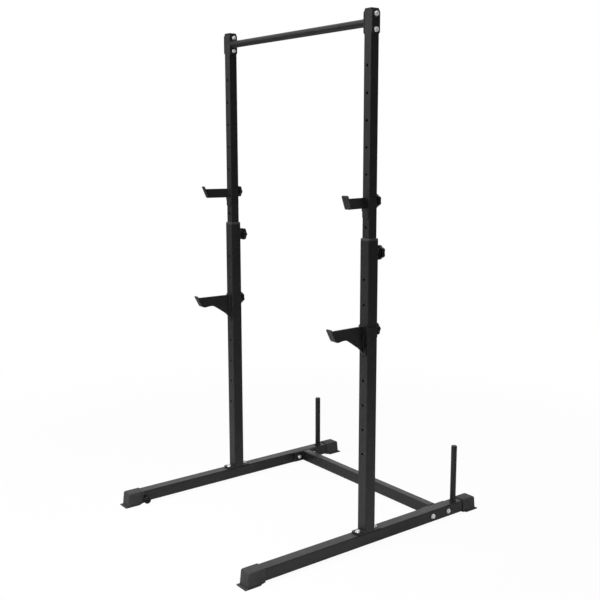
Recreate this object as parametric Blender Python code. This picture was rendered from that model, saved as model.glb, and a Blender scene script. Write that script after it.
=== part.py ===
import bpy
import bmesh
from math import cos, sin, pi, radians
from mathutils import Matrix, Vector

# Pull-up station: two base rails, a rear crossmember, telescoping uprights and a pull-up bar.
# +X is the right side, -Y is the front, +Z is up, and the floor is at z = 0. All sizes in metres.

# Overall sizes
UPRIGHT_SPACING = 0.950
FOOTPRINT_LENGTH = 1.244
UPRIGHT_Y = -0.012
GAP = 0.0003
OVERSHOOT = 0.01
PLATE_CORNER = 0.006
SIDES = {"left": -1, "right": 1}

# Hardware: M10 bolts, studs and pins, whose holes follow their radius
BOLT_RADIUS = 0.005
HOLE_CLEARANCE = 0.0005
HOLE_RADIUS = BOLT_RADIUS + HOLE_CLEARANCE

# How many flats stand for a round shape
ROUND_SIDES = 16
SHANK_SIDES = 8
HOLE_SIDES = 8
CORNER_STEPS = 2

# Base rails and crossmember
RAIL_SIZE = 0.050
RAIL_WALL = 0.002
RAIL_LIFT = 0.008
RAIL_TOP = RAIL_LIFT + RAIL_SIZE
CROSS_FROM_REAR = 0.229
CROSS_Y = FOOTPRINT_LENGTH / 2 - CROSS_FROM_REAR
CROSS_DEPTH = 0.040
CROSS_HEIGHT = 0.050
CROSS_WALL = 0.002
FLANGE_LENGTH = 0.150
FLANGE_HEIGHT = 0.046
FLANGE_THICK = 0.005
FLANGE_BOLT_OFFSET = 0.0465
FLANGE_OPENING = 0.024

# End shoes
SHOE_WALL = 0.003
SHOE_LENGTH = 0.092
SHOE_SOLE_LENGTH = 0.072
SHOE_SOLE_THICK = 0.003
SHOE_SOLE_RIM = 0.003
SHOE_TOE_RIM = 0.012
SHOE_TOE_SLOPE = 0.023
SHOE_TOE_ROUND = 0.008
SHOE_TOE_STEPS = 3
SHOE_TOE_DEPTH = 0.030
SHOE_ARCH_LENGTH = 0.012

# Lower uprights
LOWER_SIZE = 0.050
LOWER_WALL = 0.002
LOWER_TOP = 1.235
BASE_PLATE_LENGTH = 0.118
BASE_PLATE_THICK = 0.005
BASE_BOLT_OFFSET = 0.045
TUBE_CORNER = 0.004

# Hole row, shared by the lower and the upper uprights
HOLE_PITCH = 0.100
FIRST_LOWER_HOLE = 0.386
LOWER_HOLES = 8
FIRST_UPPER_HOLE = 0.986
UPPER_HOLES = 10
PIN_Z = FIRST_LOWER_HOLE + LOWER_HOLES * HOLE_PITCH
SAFETY_Z = FIRST_LOWER_HOLE + 5 * HOLE_PITCH
HOOK_Z = FIRST_UPPER_HOLE + 4 * HOLE_PITCH

# Upper uprights
UPPER_SIZE = 0.040
UPPER_WALL = 0.0015
UPPER_CORNER = 0.0035
UPPER_BOTTOM = 0.935
UPPER_TOP = 2.082
CAP_HEIGHT = 0.008
CAP_SLOPE = 0.002
CAP_PLUG = 0.0075
GLIDE_FOOT = 0.010
GLIDE_PLUG = 0.020
GLIDE_WALL = 0.003
BUSHING_DEPTH = 0.035
COLLAR_HEIGHT = 0.009
COLLAR_SLOPE = 0.001

# Pull-up bar
BAR_Z = 2.0405
BAR_RADIUS = 0.015
BAR_WALL = 0.002
END_PLATE_THICK = 0.004
END_PLATE_HEIGHT = 0.090
END_PLATE_CORNER = 0.012
BAR_BOLT_OFFSET = 0.028
FLARE_RADIUS = 0.018
FLARE_LENGTH = 0.030
FLARE_FOOT = 0.001

# Bolt heads and nuts
HEX_ACROSS = 0.016
HEAD_HEIGHT = 0.0064
FLANGE_HEAD_RADIUS = 0.0105
FLANGE_HEAD_THICK = 0.0018
NUT_HEIGHT = 0.008
THREAD_PAST_NUT = 0.002

# Height pins
PIN_RADIUS = BOLT_RADIUS
PIN_TIP_CLEARANCE = 0.0015
PIN_REACH = 0.0075
PIN_TRAVEL = PIN_TIP_CLEARANCE + PIN_REACH
PIN_COLLAR_STEP = 0.0023
PIN_COLLAR_RADIUS = PIN_RADIUS + PIN_COLLAR_STEP
PIN_COLLAR_THICK = 0.002
PIN_TIP_CHAMFER = 0.001
PIN_TAIL_RADIUS = 0.003
HOUSING_WALL = 0.0044
HOUSING_RADIUS = PIN_COLLAR_RADIUS + GAP + HOUSING_WALL
HOUSING_NOSE_WALL = 0.0025
HOUSING_NOSE_RADIUS = PIN_RADIUS + GAP + HOUSING_NOSE_WALL
HOUSING_FRONT_WALL = 0.0017
HOUSING_REAR_WALL = 0.0025
SPRING_ROOM = 0.0045
SPRING_WIRE_RADIUS = 0.0004
SPRING_TURNS = 2.5
PIN_KNOB_RADIUS = 0.029
PIN_KNOB_LENGTH = 0.021
PIN_KNOB_OVERLAP = 0.004
PIN_KNOB_EDGE = 0.003
PIN_TAIL_IN_KNOB = 0.005

# Brackets that clasp an upright, with a stud through its hole and a knob behind it
BRACKET_THICK = 0.003
BRACKET_KNEE = 0.008
TONGUE_CORNER = 0.010
CHEEK_SHORT_OF_TUBE = 0.003
STUD_PAST_TUBE = 0.015
ARM_THICK = 0.008
ARM_INTO_PLATE = 0.0015
LIP_THICK = 0.005
LIP_WIDTH = 0.030

# Bar hooks: heights are measured from the stud, and depths forwards from the bracket's plate
HOOK_PLATE = (-0.068, 0.012)
HOOK_CHEEK = (-0.029, 0.012)
HOOK_TONGUE_WIDTH = 0.034
HOOK_ARM_TOP = 0.0135
HOOK_ARM_UNDERSIDE = [(-ARM_INTO_PLATE, -0.027), (0.103, -0.027)]
HOOK_ARM_TIP = 0.119
HOOK_LIP = ((0.102, -0.025), (0.123, 0.025))
HOOK_TOE_OUT = radians(11)

# Safety arms, measured in the same way
SAFETY_PLATE = (-0.101, 0.024)
SAFETY_CHEEK = (-0.030, 0.016)
SAFETY_TONGUE_WIDTH = 0.036
SAFETY_ARM_TOP = 0.0185
SAFETY_ARM_UNDERSIDE = [
    (-ARM_INTO_PLATE, -0.0925), (0.006, -0.0835), (0.020, -0.0685), (0.075, -0.0325), (0.089, -0.0255),
    (0.111, -0.026), (0.129, -0.0295), (0.142, -0.0275), (0.151, -0.0195),
]
SAFETY_ARM_TIP = 0.167
SAFETY_LIP = ((0.1517, -0.0195), (0.176, 0.0265))
SAFETY_TOE_OUT = radians(2)

# Clamp knobs
KNOB_RADIUS = 0.026
KNOB_LOBES = 6
KNOB_LOBE_DEPTH = 0.003
KNOB_HEAD = 0.014
KNOB_NECK = 0.005
KNOB_NECK_RADIUS = 0.0125

# Plate pegs
PEG_FROM_REAR = 0.129
PEG_Y = FOOTPRINT_LENGTH / 2 - PEG_FROM_REAR
PEG_RADIUS = 0.0125
PEG_WALL = 0.002
PEG_TOP = 0.304
PEG_CAP_HEIGHT = 0.006
PEG_CAP_SLOPE = 0.003
PEG_CAP_PLUG = 0.015
PEG_FLARE_RADIUS = 0.0165
PEG_FLARE_HEIGHT = 0.008
PEG_FLARE_FOOT = 0.003

# Transport wheels
WHEEL_BEHIND_SHOE = 0.010
WHEEL_Y = -FOOTPRINT_LENGTH / 2 + SHOE_LENGTH + WHEEL_BEHIND_SHOE
WHEEL_Z = 0.019
WHEEL_RADIUS = 0.016
WHEEL_WIDTH = 0.016
WHEEL_STAND_OFF = 0.0055
WHEEL_EDGE = 0.002
AXLE_RADIUS = 0.004
AXLE_SHOULDER_RADIUS = 0.0065
AXLE_HEAD_RADIUS = 0.0075
AXLE_HEAD_THICK = 0.004
AXLE_HEAD_SLOPE = 0.003
AXLE_NUT_ACROSS = 0.013
AXLE_NUT_HEIGHT = 0.006


def clear_scene():
    for item in list(bpy.data.objects):
        bpy.data.objects.remove(item, do_unlink=True)


# Materials

def surface(name, colour, roughness, metallic):
    material = bpy.data.materials.new(name)
    material.use_nodes = True
    shader = material.node_tree.nodes["Principled BSDF"]
    shader.inputs["Base Color"].default_value = (*colour, 1.0)
    shader.inputs["Roughness"].default_value = roughness
    shader.inputs["Metallic"].default_value = metallic
    return material


def satin_powder_coat(name):
    return surface(name + "_coat", (0.030, 0.030, 0.033), 0.42, 0.0)


def shoe_plastic(name):
    return surface(name + "_plastic", (0.045, 0.045, 0.047), 0.60, 0.0)


def knob_plastic(name):
    return surface(name + "_plastic", (0.010, 0.010, 0.011), 0.45, 0.0)


def zinc_steel(name):
    return surface(name + "_zinc", (0.62, 0.62, 0.63), 0.30, 1.0)


def black_steel(name):
    return surface(name + "_black", (0.060, 0.060, 0.062), 0.38, 1.0)


def spring_steel(name):
    return surface(name + "_steel", (0.45, 0.45, 0.46), 0.35, 1.0)


# Outlines, as lists of points round a flat shape

def circle(radius, centre=(0, 0), sides=ROUND_SIDES, start=0.5):
    # start says where the first corner lies, in parts of one flat
    turns = [2 * pi * (n + start) / sides for n in range(sides)]
    return [(centre[0] + radius * cos(t), centre[1] + radius * sin(t)) for t in turns]


def hexagon(across, centre=(0, 0), start=0.5):
    return circle(across / 2 / cos(pi / 6), centre, 6, start)


def rounded_rectangle(width, depth, radius, centre=(0, 0), steps=CORNER_STEPS):
    corners = [(1, 1), (-1, 1), (-1, -1), (1, -1)]
    points = []
    for n, (sign_x, sign_y) in enumerate(corners):
        middle_x = centre[0] + sign_x * (width / 2 - radius)
        middle_y = centre[1] + sign_y * (depth / 2 - radius)
        for step in range(steps + 1):
            turn = pi / 2 * (n + step / steps)
            points.append((middle_x + radius * cos(turn), middle_y + radius * sin(turn)))
    return points


def lobed_outline(radius, lobes, depth, centre=(0, 0), steps_per_lobe=6):
    points = []
    for n in range(lobes * steps_per_lobe):
        turn = 2 * pi * n / (lobes * steps_per_lobe)
        reach = radius - depth * (1 - cos(lobes * turn)) / 2
        points.append((centre[0] + reach * cos(turn), centre[1] + reach * sin(turn)))
    return points


# Solid shapes

def as_object(bm):
    bmesh.ops.recalc_face_normals(bm, faces=bm.faces)
    mesh = bpy.data.meshes.new("shape")
    bm.to_mesh(mesh)
    bm.free()
    shape = bpy.data.objects.new("shape", mesh)
    bpy.context.collection.objects.link(shape)
    return shape


def prism(outline, axis, low, high):
    spread = {
        "X": lambda a, b, along: Vector((along, a, b)),
        "Y": lambda a, b, along: Vector((a, along, b)),
        "Z": lambda a, b, along: Vector((a, b, along)),
    }[axis]
    bm = bmesh.new()
    face = bm.faces.new([bm.verts.new(spread(a, b, low)) for a, b in outline])
    grown = bmesh.ops.extrude_face_region(bm, geom=[face])
    moved = [item for item in grown["geom"] if isinstance(item, bmesh.types.BMVert)]
    bmesh.ops.translate(bm, verts=moved, vec=spread(0, 0, high - low))
    return as_object(bm)


def tapered_prism(low_outline, high_outline, low, high):
    bm = bmesh.new()
    rings = []
    for outline, height in ((low_outline, low), (high_outline, high)):
        ring = [bm.verts.new((a, b, height)) for a, b in outline]
        bm.faces.new(ring)
        rings.append([bm.edges.get((ring[n - 1], ring[n])) for n in range(len(ring))])
    bmesh.ops.bridge_loops(bm, edges=rings[0] + rings[1])
    return as_object(bm)


def block(low, high):
    outline = [(low[0], low[1]), (high[0], low[1]), (high[0], high[1]), (low[0], high[1])]
    return prism(outline, "Z", low[2], high[2])


def turned(profile, origin, direction, sides=ROUND_SIDES, hollow=False):
    bm = bmesh.new()
    verts = [bm.verts.new((radius, 0, along)) for radius, along in profile]
    edges = [bm.edges.new((verts[n], verts[n + 1])) for n in range(len(verts) - 1)]
    if hollow:
        edges.append(bm.edges.new((verts[-1], verts[0])))
    bmesh.ops.spin(bm, geom=verts + edges, axis=(0, 0, 1), cent=(0, 0, 0), dvec=(0, 0, 0),
                   angle=2 * pi, steps=sides, use_merge=True, use_duplicate=False)
    bmesh.ops.remove_doubles(bm, verts=bm.verts, dist=0.00001)
    turn = Vector(direction).to_track_quat("Z", "Y").to_matrix().to_4x4()
    bmesh.ops.transform(bm, matrix=Matrix.Translation(origin) @ turn, verts=bm.verts)
    return as_object(bm)


def rod(radius, axis, centre, low, high, sides=ROUND_SIDES):
    return prism(circle(radius, centre, sides), axis, low, high)


def drill(radius, axis, centre, low, high):
    # a cutter whose flats clear the round hole
    return rod(radius / cos(pi / HOLE_SIDES), axis, centre, low, high, HOLE_SIDES)


def bake(target):
    depsgraph = bpy.context.evaluated_depsgraph_get()
    mesh = bpy.data.meshes.new_from_object(target.evaluated_get(depsgraph))
    target.modifiers.clear()
    target.data = mesh


def combine(target, tool, operation):
    modifier = target.modifiers.new(operation.lower(), "BOOLEAN")
    modifier.operation = operation
    modifier.solver = "EXACT"
    modifier.object = tool
    bake(target)
    bpy.data.objects.remove(tool, do_unlink=True)


def join(target, *tools):
    for tool in tools:
        combine(target, tool, "UNION")
    return target


def cut(target, *tools):
    for tool in tools:
        combine(target, tool, "DIFFERENCE")
    return target


def transform(shape, matrix):
    shape.data.transform(matrix)
    return shape


# Assembly: every sub-part hangs on the empty of the body it moves with

def body_empty(name, origin):
    empty = bpy.data.objects.new(name, None)
    empty.location = origin
    bpy.context.collection.objects.link(empty)
    return empty


def sub_part(name, shape, material, body):
    shape.name = name
    shape.data.name = name
    shape.data.materials.clear()
    shape.data.materials.append(material(name))
    shape.data.transform(Matrix.Translation(-body.location))
    shape.parent = body
    shape.data.shade_smooth()
    shape.data.set_sharp_from_angle(angle=radians(35))
    return shape


# Shared pieces and places

def side_x(side):
    return SIDES[side] * UPRIGHT_SPACING / 2


def square_tube_z(size, wall, corner, centre, low, high):
    outer = prism(rounded_rectangle(size, size, corner, centre), "Z", low, high)
    inside = size - 2 * wall
    inner = prism(rounded_rectangle(inside, inside, corner - wall, centre), "Z",
                  low - OVERSHOOT, high + OVERSHOOT)
    return cut(outer, inner)


def bolt_and_nut(seat, direction, stack, flanged=True):
    # seat is the point under the head, direction runs along the shank, and stack is what it clamps
    nut_start = stack + GAP
    bolt = prism(hexagon(HEX_ACROSS), "Z", -HEAD_HEIGHT, 0)
    shank_end = nut_start + NUT_HEIGHT + THREAD_PAST_NUT
    join(bolt, rod(BOLT_RADIUS, "Z", (0, 0), -HEAD_HEIGHT / 2, shank_end, SHANK_SIDES))
    join(bolt, prism(hexagon(HEX_ACROSS), "Z", nut_start, nut_start + NUT_HEIGHT))
    if flanged:
        join(bolt, rod(FLANGE_HEAD_RADIUS, "Z", (0, 0), -FLANGE_HEAD_THICK, 0))
    turn = Vector(direction).to_track_quat("Z", "Y").to_matrix().to_4x4()
    return transform(bolt, Matrix.Translation(seat) @ turn)


# Base

def base_rail(side):
    centre = (side_x(side), RAIL_LIFT + RAIL_SIZE / 2)
    reach = FOOTPRINT_LENGTH / 2 - SHOE_TOE_DEPTH
    inside = RAIL_SIZE - 2 * RAIL_WALL
    rail = prism(rounded_rectangle(RAIL_SIZE, RAIL_SIZE, TUBE_CORNER, centre), "Y", -reach, reach)
    bore = rounded_rectangle(inside, inside, TUBE_CORNER - RAIL_WALL, centre)
    cut(rail, prism(bore, "Y", -reach - OVERSHOOT, reach + OVERSHOOT))
    for offset in (-FLANGE_BOLT_OFFSET, FLANGE_BOLT_OFFSET):
        place = (CROSS_Y + offset, centre[1])
        low = centre[0] - RAIL_SIZE
        cut(rail, drill(HOLE_RADIUS, "X", place, low, low + 2 * RAIL_SIZE))
    for offset in (-BASE_BOLT_OFFSET, BASE_BOLT_OFFSET):
        place = (centre[0], UPRIGHT_Y + offset)
        cut(rail, drill(HOLE_RADIUS, "Z", place, centre[1], RAIL_TOP + OVERSHOOT))
    inner_face = centre[0] - SIDES[side] * RAIL_SIZE / 2
    low, high = sorted((inner_face - SIDES[side] * OVERSHOOT, centre[0]))
    return cut(rail, drill(AXLE_RADIUS + GAP, "X", (WHEEL_Y, WHEEL_Z), low, high))


def shoe_profile(end):
    # distance in from the toe, and height
    top = RAIL_TOP + GAP + SHOE_WALL
    under = RAIL_LIFT - GAP - SHOE_WALL
    points = [(0, 0), (0, SHOE_SOLE_THICK), (SHOE_TOE_RIM, SHOE_SOLE_THICK)]
    for step in range(SHOE_TOE_STEPS + 1):
        turn = pi / 2 * step / SHOE_TOE_STEPS
        points.append((SHOE_TOE_SLOPE + SHOE_TOE_ROUND * (1 - cos(turn)),
                       top - SHOE_TOE_ROUND * (1 - sin(turn))))
    points += [(SHOE_LENGTH, top), (SHOE_LENGTH, under)]
    for step in range(SHOE_TOE_STEPS + 1):
        turn = pi / 2 * step / SHOE_TOE_STEPS
        points.append((SHOE_SOLE_LENGTH + SHOE_ARCH_LENGTH * (1 - sin(turn)), under * cos(turn)))
    return [(end * (FOOTPRINT_LENGTH / 2 - depth), height) for depth, height in points]


def end_shoe(side, end):
    middle = side_x(side)
    half = RAIL_SIZE / 2 + GAP + SHOE_WALL
    shoe = prism(shoe_profile(end), "X", middle - half, middle + half)
    toe = end * FOOTPRINT_LENGTH / 2
    heel = end * (FOOTPRINT_LENGTH / 2 - SHOE_SOLE_LENGTH)
    low, high = sorted((toe, heel))
    rim = half + SHOE_SOLE_RIM
    join(shoe, block((middle - rim, low, 0), (middle + rim, high, SHOE_SOLE_THICK)))
    pocket_size = RAIL_SIZE + 2 * GAP
    pocket = rounded_rectangle(pocket_size, pocket_size, TUBE_CORNER, (middle, RAIL_LIFT + RAIL_SIZE / 2))
    deep = end * (FOOTPRINT_LENGTH / 2 - SHOE_TOE_DEPTH + GAP)
    mouth = end * (FOOTPRINT_LENGTH / 2 - SHOE_LENGTH - OVERSHOOT)
    low, high = sorted((deep, mouth))
    return cut(shoe, prism(pocket, "Y", low, high))


def flange_face(side):
    # outer face of the crossmember's flange, 0.3 mm inside the rail's inner face
    return side_x(side) - SIDES[side] * (RAIL_SIZE / 2 + GAP)


def crossmember_flange(side):
    centre = (CROSS_Y, RAIL_LIFT + RAIL_SIZE / 2)
    outer = flange_face(side)
    low, high = sorted((outer, outer - SIDES[side] * FLANGE_THICK))
    flange = prism(rounded_rectangle(FLANGE_LENGTH, FLANGE_HEIGHT, PLATE_CORNER, centre), "X", low, high)
    for offset in (-FLANGE_BOLT_OFFSET, FLANGE_BOLT_OFFSET):
        place = (CROSS_Y + offset, centre[1])
        cut(flange, drill(HOLE_RADIUS, "X", place, low - OVERSHOOT, high + OVERSHOOT))
    return flange


def rear_crossmember():
    # the tube with a flange welded on each end; the flanges have an opening in the middle
    reach = flange_face("right") - FLANGE_THICK
    centre = (CROSS_Y, RAIL_LIFT + RAIL_SIZE / 2)
    tube = prism(rounded_rectangle(CROSS_DEPTH, CROSS_HEIGHT, TUBE_CORNER, centre), "X",
                 -reach - FLANGE_THICK / 2, reach + FLANGE_THICK / 2)
    join(tube, crossmember_flange("left"), crossmember_flange("right"))
    bore = rounded_rectangle(CROSS_DEPTH - 2 * CROSS_WALL, CROSS_HEIGHT - 2 * CROSS_WALL,
                             TUBE_CORNER - CROSS_WALL, centre)
    cut(tube, prism(bore, "X", -reach, reach))
    return cut(tube, rod(FLANGE_OPENING / 2, "X", centre, -reach - 0.02, reach + 0.02))


def front_and_rear(offset):
    return (("front", -offset), ("rear", offset))


def crossmember_bolt(side, offset):
    sign = SIDES[side]
    height = RAIL_LIFT + RAIL_SIZE / 2
    seat = (side_x(side) + sign * (RAIL_SIZE / 2 + GAP), CROSS_Y + offset, height)
    stack = RAIL_SIZE + FLANGE_THICK + 2 * GAP
    return bolt_and_nut(seat, (-sign, 0, 0), stack)


def base_plate(side):
    centre = (side_x(side), UPRIGHT_Y)
    low = RAIL_TOP + GAP
    plate = prism(rounded_rectangle(LOWER_SIZE, BASE_PLATE_LENGTH, PLATE_CORNER, centre), "Z",
                  low, low + BASE_PLATE_THICK)
    for offset in (-BASE_BOLT_OFFSET, BASE_BOLT_OFFSET):
        place = (centre[0], UPRIGHT_Y + offset)
        cut(plate, drill(HOLE_RADIUS, "Z", place, low - OVERSHOOT, low + BASE_PLATE_THICK + OVERSHOOT))
    return plate


def base_plate_bolt(side, offset):
    # its nut is held under the top wall of the rail
    seat = RAIL_TOP + 2 * GAP + BASE_PLATE_THICK
    place = (side_x(side), UPRIGHT_Y + offset, seat)
    return bolt_and_nut(place, (0, 0, -1), seat - RAIL_TOP + RAIL_WALL)


# Uprights

def row_of_holes(tube, size, centre, first, count):
    for n in range(count):
        place = (centre[0], first + n * HOLE_PITCH)
        cut(tube, drill(HOLE_RADIUS, "Y", place, centre[1] - size, centre[1] + size))
    return tube


def lower_upright(side):
    # the tube with its base plate welded on
    centre = (side_x(side), UPRIGHT_Y)
    plate_top = RAIL_TOP + GAP + BASE_PLATE_THICK
    outer = rounded_rectangle(LOWER_SIZE, LOWER_SIZE, TUBE_CORNER, centre)
    tube = prism(outer, "Z", plate_top - BASE_PLATE_THICK / 2, LOWER_TOP)
    join(tube, base_plate(side))
    inside = LOWER_SIZE - 2 * LOWER_WALL
    bore = rounded_rectangle(inside, inside, TUBE_CORNER - LOWER_WALL, centre)
    cut(tube, prism(bore, "Z", plate_top, LOWER_TOP + OVERSHOOT))
    row_of_holes(tube, LOWER_SIZE, centre, FIRST_LOWER_HOLE, LOWER_HOLES)
    place = (centre[0], PIN_Z)
    nose_hole = HOUSING_NOSE_RADIUS + GAP
    return cut(tube, rod(nose_hole, "Y", place, UPRIGHT_Y, UPRIGHT_Y + LOWER_SIZE))


def tube_bushing(side):
    centre = (side_x(side), UPRIGHT_Y)
    bore_size = UPPER_SIZE + 2 * GAP
    sleeve_size = LOWER_SIZE - 2 * LOWER_WALL - 2 * GAP
    seat = LOWER_TOP + GAP
    sleeve_corner = TUBE_CORNER - LOWER_WALL
    sleeve = prism(rounded_rectangle(sleeve_size, sleeve_size, sleeve_corner, centre), "Z",
                   LOWER_TOP - BUSHING_DEPTH, seat + COLLAR_HEIGHT / 3)
    shoulder = (LOWER_SIZE + bore_size) / 2 - 2 * COLLAR_SLOPE
    wide = rounded_rectangle(LOWER_SIZE, LOWER_SIZE, TUBE_CORNER, centre)
    narrow = rounded_rectangle(shoulder, shoulder, TUBE_CORNER, centre)
    collar = prism(wide, "Z", seat, seat + COLLAR_HEIGHT / 2)
    slope = tapered_prism(wide, narrow, seat + COLLAR_HEIGHT / 2, seat + COLLAR_HEIGHT)
    join(collar, slope, sleeve)
    bore = prism(rounded_rectangle(bore_size, bore_size, UPPER_CORNER, centre), "Z",
                 LOWER_TOP - BUSHING_DEPTH - OVERSHOOT, seat + COLLAR_HEIGHT + OVERSHOOT)
    return cut(collar, bore)


def upper_upright(side):
    centre = (side_x(side), UPRIGHT_Y)
    tube = square_tube_z(UPPER_SIZE, UPPER_WALL, UPPER_CORNER, centre, UPPER_BOTTOM, UPPER_TOP)
    row_of_holes(tube, UPPER_SIZE, centre, FIRST_UPPER_HOLE, UPPER_HOLES)
    for offset in (-BAR_BOLT_OFFSET, BAR_BOLT_OFFSET):
        place = (UPRIGHT_Y, BAR_Z + offset)
        cut(tube, drill(HOLE_RADIUS, "X", place, centre[0] - UPPER_SIZE, centre[0] + UPPER_SIZE))
    return tube


def upper_plug_size():
    return UPPER_SIZE - 2 * UPPER_WALL - 2 * GAP


def tube_glide(side):
    centre = (side_x(side), UPRIGHT_Y)
    foot_size = LOWER_SIZE - 2 * LOWER_WALL - 2 * GAP
    foot_top = UPPER_BOTTOM - GAP
    foot = prism(rounded_rectangle(foot_size, foot_size, TUBE_CORNER - LOWER_WALL, centre), "Z",
                 foot_top - GLIDE_FOOT, foot_top)
    plug_size = upper_plug_size()
    plug = prism(rounded_rectangle(plug_size, plug_size, UPPER_CORNER - UPPER_WALL, centre), "Z",
                 foot_top - GLIDE_FOOT / 2, UPPER_BOTTOM + GLIDE_PLUG)
    join(foot, plug)
    opening = rod(plug_size / 2 - GLIDE_WALL, "Z", centre,
                  foot_top - 2 * GLIDE_FOOT, UPPER_BOTTOM + 2 * GLIDE_PLUG)
    return cut(foot, opening)


def top_cap(side):
    centre = (side_x(side), UPRIGHT_Y)
    seat = UPPER_TOP + GAP
    wide = rounded_rectangle(UPPER_SIZE, UPPER_SIZE, UPPER_CORNER, centre)
    crown = UPPER_SIZE - 2 * CAP_SLOPE
    narrow = rounded_rectangle(crown, crown, UPPER_CORNER, centre)
    lid = prism(wide, "Z", seat, seat + CAP_HEIGHT * 0.6)
    dome = tapered_prism(wide, narrow, seat + CAP_HEIGHT * 0.6, seat + CAP_HEIGHT)
    plug_size = upper_plug_size()
    plug = prism(rounded_rectangle(plug_size, plug_size, UPPER_CORNER - UPPER_WALL, centre), "Z",
                 UPPER_TOP - CAP_PLUG, seat + CAP_HEIGHT / 3)
    return join(lid, dome, plug)


# Height pins, in a frame whose origin is the pin's axis in the middle of the upright

def pin_places():
    face = LOWER_SIZE / 2
    places = {"tip": UPPER_SIZE / 2 + PIN_TIP_CLEARANCE}
    places["chamber_start"] = face + HOUSING_FRONT_WALL
    places["collar_front"] = places["chamber_start"] + PIN_TRAVEL + GAP
    places["collar_back"] = places["collar_front"] + PIN_COLLAR_THICK
    places["chamber_end"] = places["collar_back"] + SPRING_ROOM
    places["housing_end"] = places["chamber_end"] + HOUSING_REAR_WALL
    places["knob_front"] = places["housing_end"] - PIN_KNOB_OVERLAP
    places["recess_end"] = places["housing_end"] + PIN_TRAVEL + 2 * GAP
    places["knob_back"] = places["knob_front"] + PIN_KNOB_LENGTH
    places["tail_end"] = places["recess_end"] + PIN_TAIL_IN_KNOB
    return places


def pin_origin(side):
    return Vector((side_x(side), UPRIGHT_Y, PIN_Z))


def pin_housing(side):
    place = pin_places()
    nose = LOWER_SIZE / 2 - LOWER_WALL
    seat = LOWER_SIZE / 2 + GAP
    profile = [
        (HOUSING_NOSE_RADIUS, nose), (HOUSING_NOSE_RADIUS, seat),
        (HOUSING_RADIUS, seat), (HOUSING_RADIUS, place["housing_end"]),
        (PIN_TAIL_RADIUS + GAP, place["housing_end"]), (PIN_TAIL_RADIUS + GAP, place["chamber_end"]),
        (PIN_COLLAR_RADIUS + GAP, place["chamber_end"]), (PIN_COLLAR_RADIUS + GAP, place["chamber_start"]),
        (PIN_RADIUS + GAP, place["chamber_start"]), (PIN_RADIUS + GAP, nose),
    ]
    return turned(profile, pin_origin(side), (0, 1, 0), hollow=True)


def pin_plunger(side):
    place = pin_places()
    profile = [
        (0, place["tip"]), (PIN_RADIUS - PIN_TIP_CHAMFER, place["tip"]),
        (PIN_RADIUS, place["tip"] + PIN_TIP_CHAMFER),
        (PIN_RADIUS, place["collar_front"]), (PIN_COLLAR_RADIUS, place["collar_front"]),
        (PIN_COLLAR_RADIUS, place["collar_back"]), (PIN_TAIL_RADIUS, place["collar_back"]),
        (PIN_TAIL_RADIUS, place["tail_end"]), (0, place["tail_end"]),
    ]
    return turned(profile, pin_origin(side), (0, 1, 0))


def pin_spring(side):
    place = pin_places()
    start = place["collar_back"] + GAP + SPRING_WIRE_RADIUS
    end = place["chamber_end"] - GAP - SPRING_WIRE_RADIUS
    ring = (PIN_TAIL_RADIUS + PIN_COLLAR_RADIUS) / 2 + GAP
    steps = int(SPRING_TURNS * 8)
    curve = bpy.data.curves.new("spring", "CURVE")
    curve.dimensions = "3D"
    curve.bevel_depth = SPRING_WIRE_RADIUS
    curve.bevel_resolution = 0
    curve.use_fill_caps = True
    spline = curve.splines.new("POLY")
    spline.points.add(steps)
    for n, point in enumerate(spline.points):
        turn = 2 * pi * SPRING_TURNS * n / steps
        along = start + (end - start) * n / steps
        point.co = (*(pin_origin(side) + Vector((ring * cos(turn), along, ring * sin(turn)))), 1)
    coil = bpy.data.objects.new("coil", curve)
    bpy.context.collection.objects.link(coil)
    depsgraph = bpy.context.evaluated_depsgraph_get()
    mesh = bpy.data.meshes.new_from_object(coil.evaluated_get(depsgraph))
    bpy.data.objects.remove(coil, do_unlink=True)
    bm = bmesh.new()
    bm.from_mesh(mesh)
    bmesh.ops.remove_doubles(bm, verts=bm.verts, dist=0.00001)
    return as_object(bm)


def pin_knob(side):
    place = pin_places()
    edge = PIN_KNOB_EDGE
    recess = HOUSING_RADIUS + 2 * GAP
    bore = PIN_TAIL_RADIUS + GAP
    profile = [
        (recess, place["knob_front"]), (PIN_KNOB_RADIUS - edge, place["knob_front"]),
        (PIN_KNOB_RADIUS, place["knob_front"] + edge), (PIN_KNOB_RADIUS, place["knob_back"] - 2 * edge),
        (PIN_KNOB_RADIUS - edge, place["knob_back"] - edge / 2), (PIN_KNOB_RADIUS / 2, place["knob_back"]),
        (0, place["knob_back"]), (0, place["tail_end"] + GAP), (bore, place["tail_end"] + GAP),
        (bore, place["recess_end"]), (recess, place["recess_end"]), (recess, place["knob_front"]),
    ]
    return turned(profile, pin_origin(side), (0, 1, 0))


# Pull-up bar

def end_plate(side, inner):
    sign = SIDES[side] * (-1 if inner else 1)
    face = side_x(side) + sign * (UPPER_SIZE / 2 + GAP)
    low, high = sorted((face, face + sign * END_PLATE_THICK))
    outline = rounded_rectangle(UPPER_SIZE, END_PLATE_HEIGHT, END_PLATE_CORNER, (UPRIGHT_Y, BAR_Z))
    plate = prism(outline, "X", low, high)
    for offset in (-BAR_BOLT_OFFSET, BAR_BOLT_OFFSET):
        cut(plate, drill(HOLE_RADIUS, "X", (UPRIGHT_Y, BAR_Z + offset), low - OVERSHOOT, high + OVERSHOOT))
    return plate


def weld_flare(side):
    sign = SIDES[side]
    face = side_x(side) - sign * (UPPER_SIZE / 2 + GAP)
    flare_end = END_PLATE_THICK + FLARE_LENGTH
    profile = [(0, END_PLATE_THICK / 2), (FLARE_RADIUS, END_PLATE_THICK / 2),
               (FLARE_RADIUS, END_PLATE_THICK + FLARE_FOOT), (BAR_RADIUS, flare_end), (0, flare_end)]
    return turned(profile, (face, UPRIGHT_Y, BAR_Z), (-sign, 0, 0))


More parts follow.
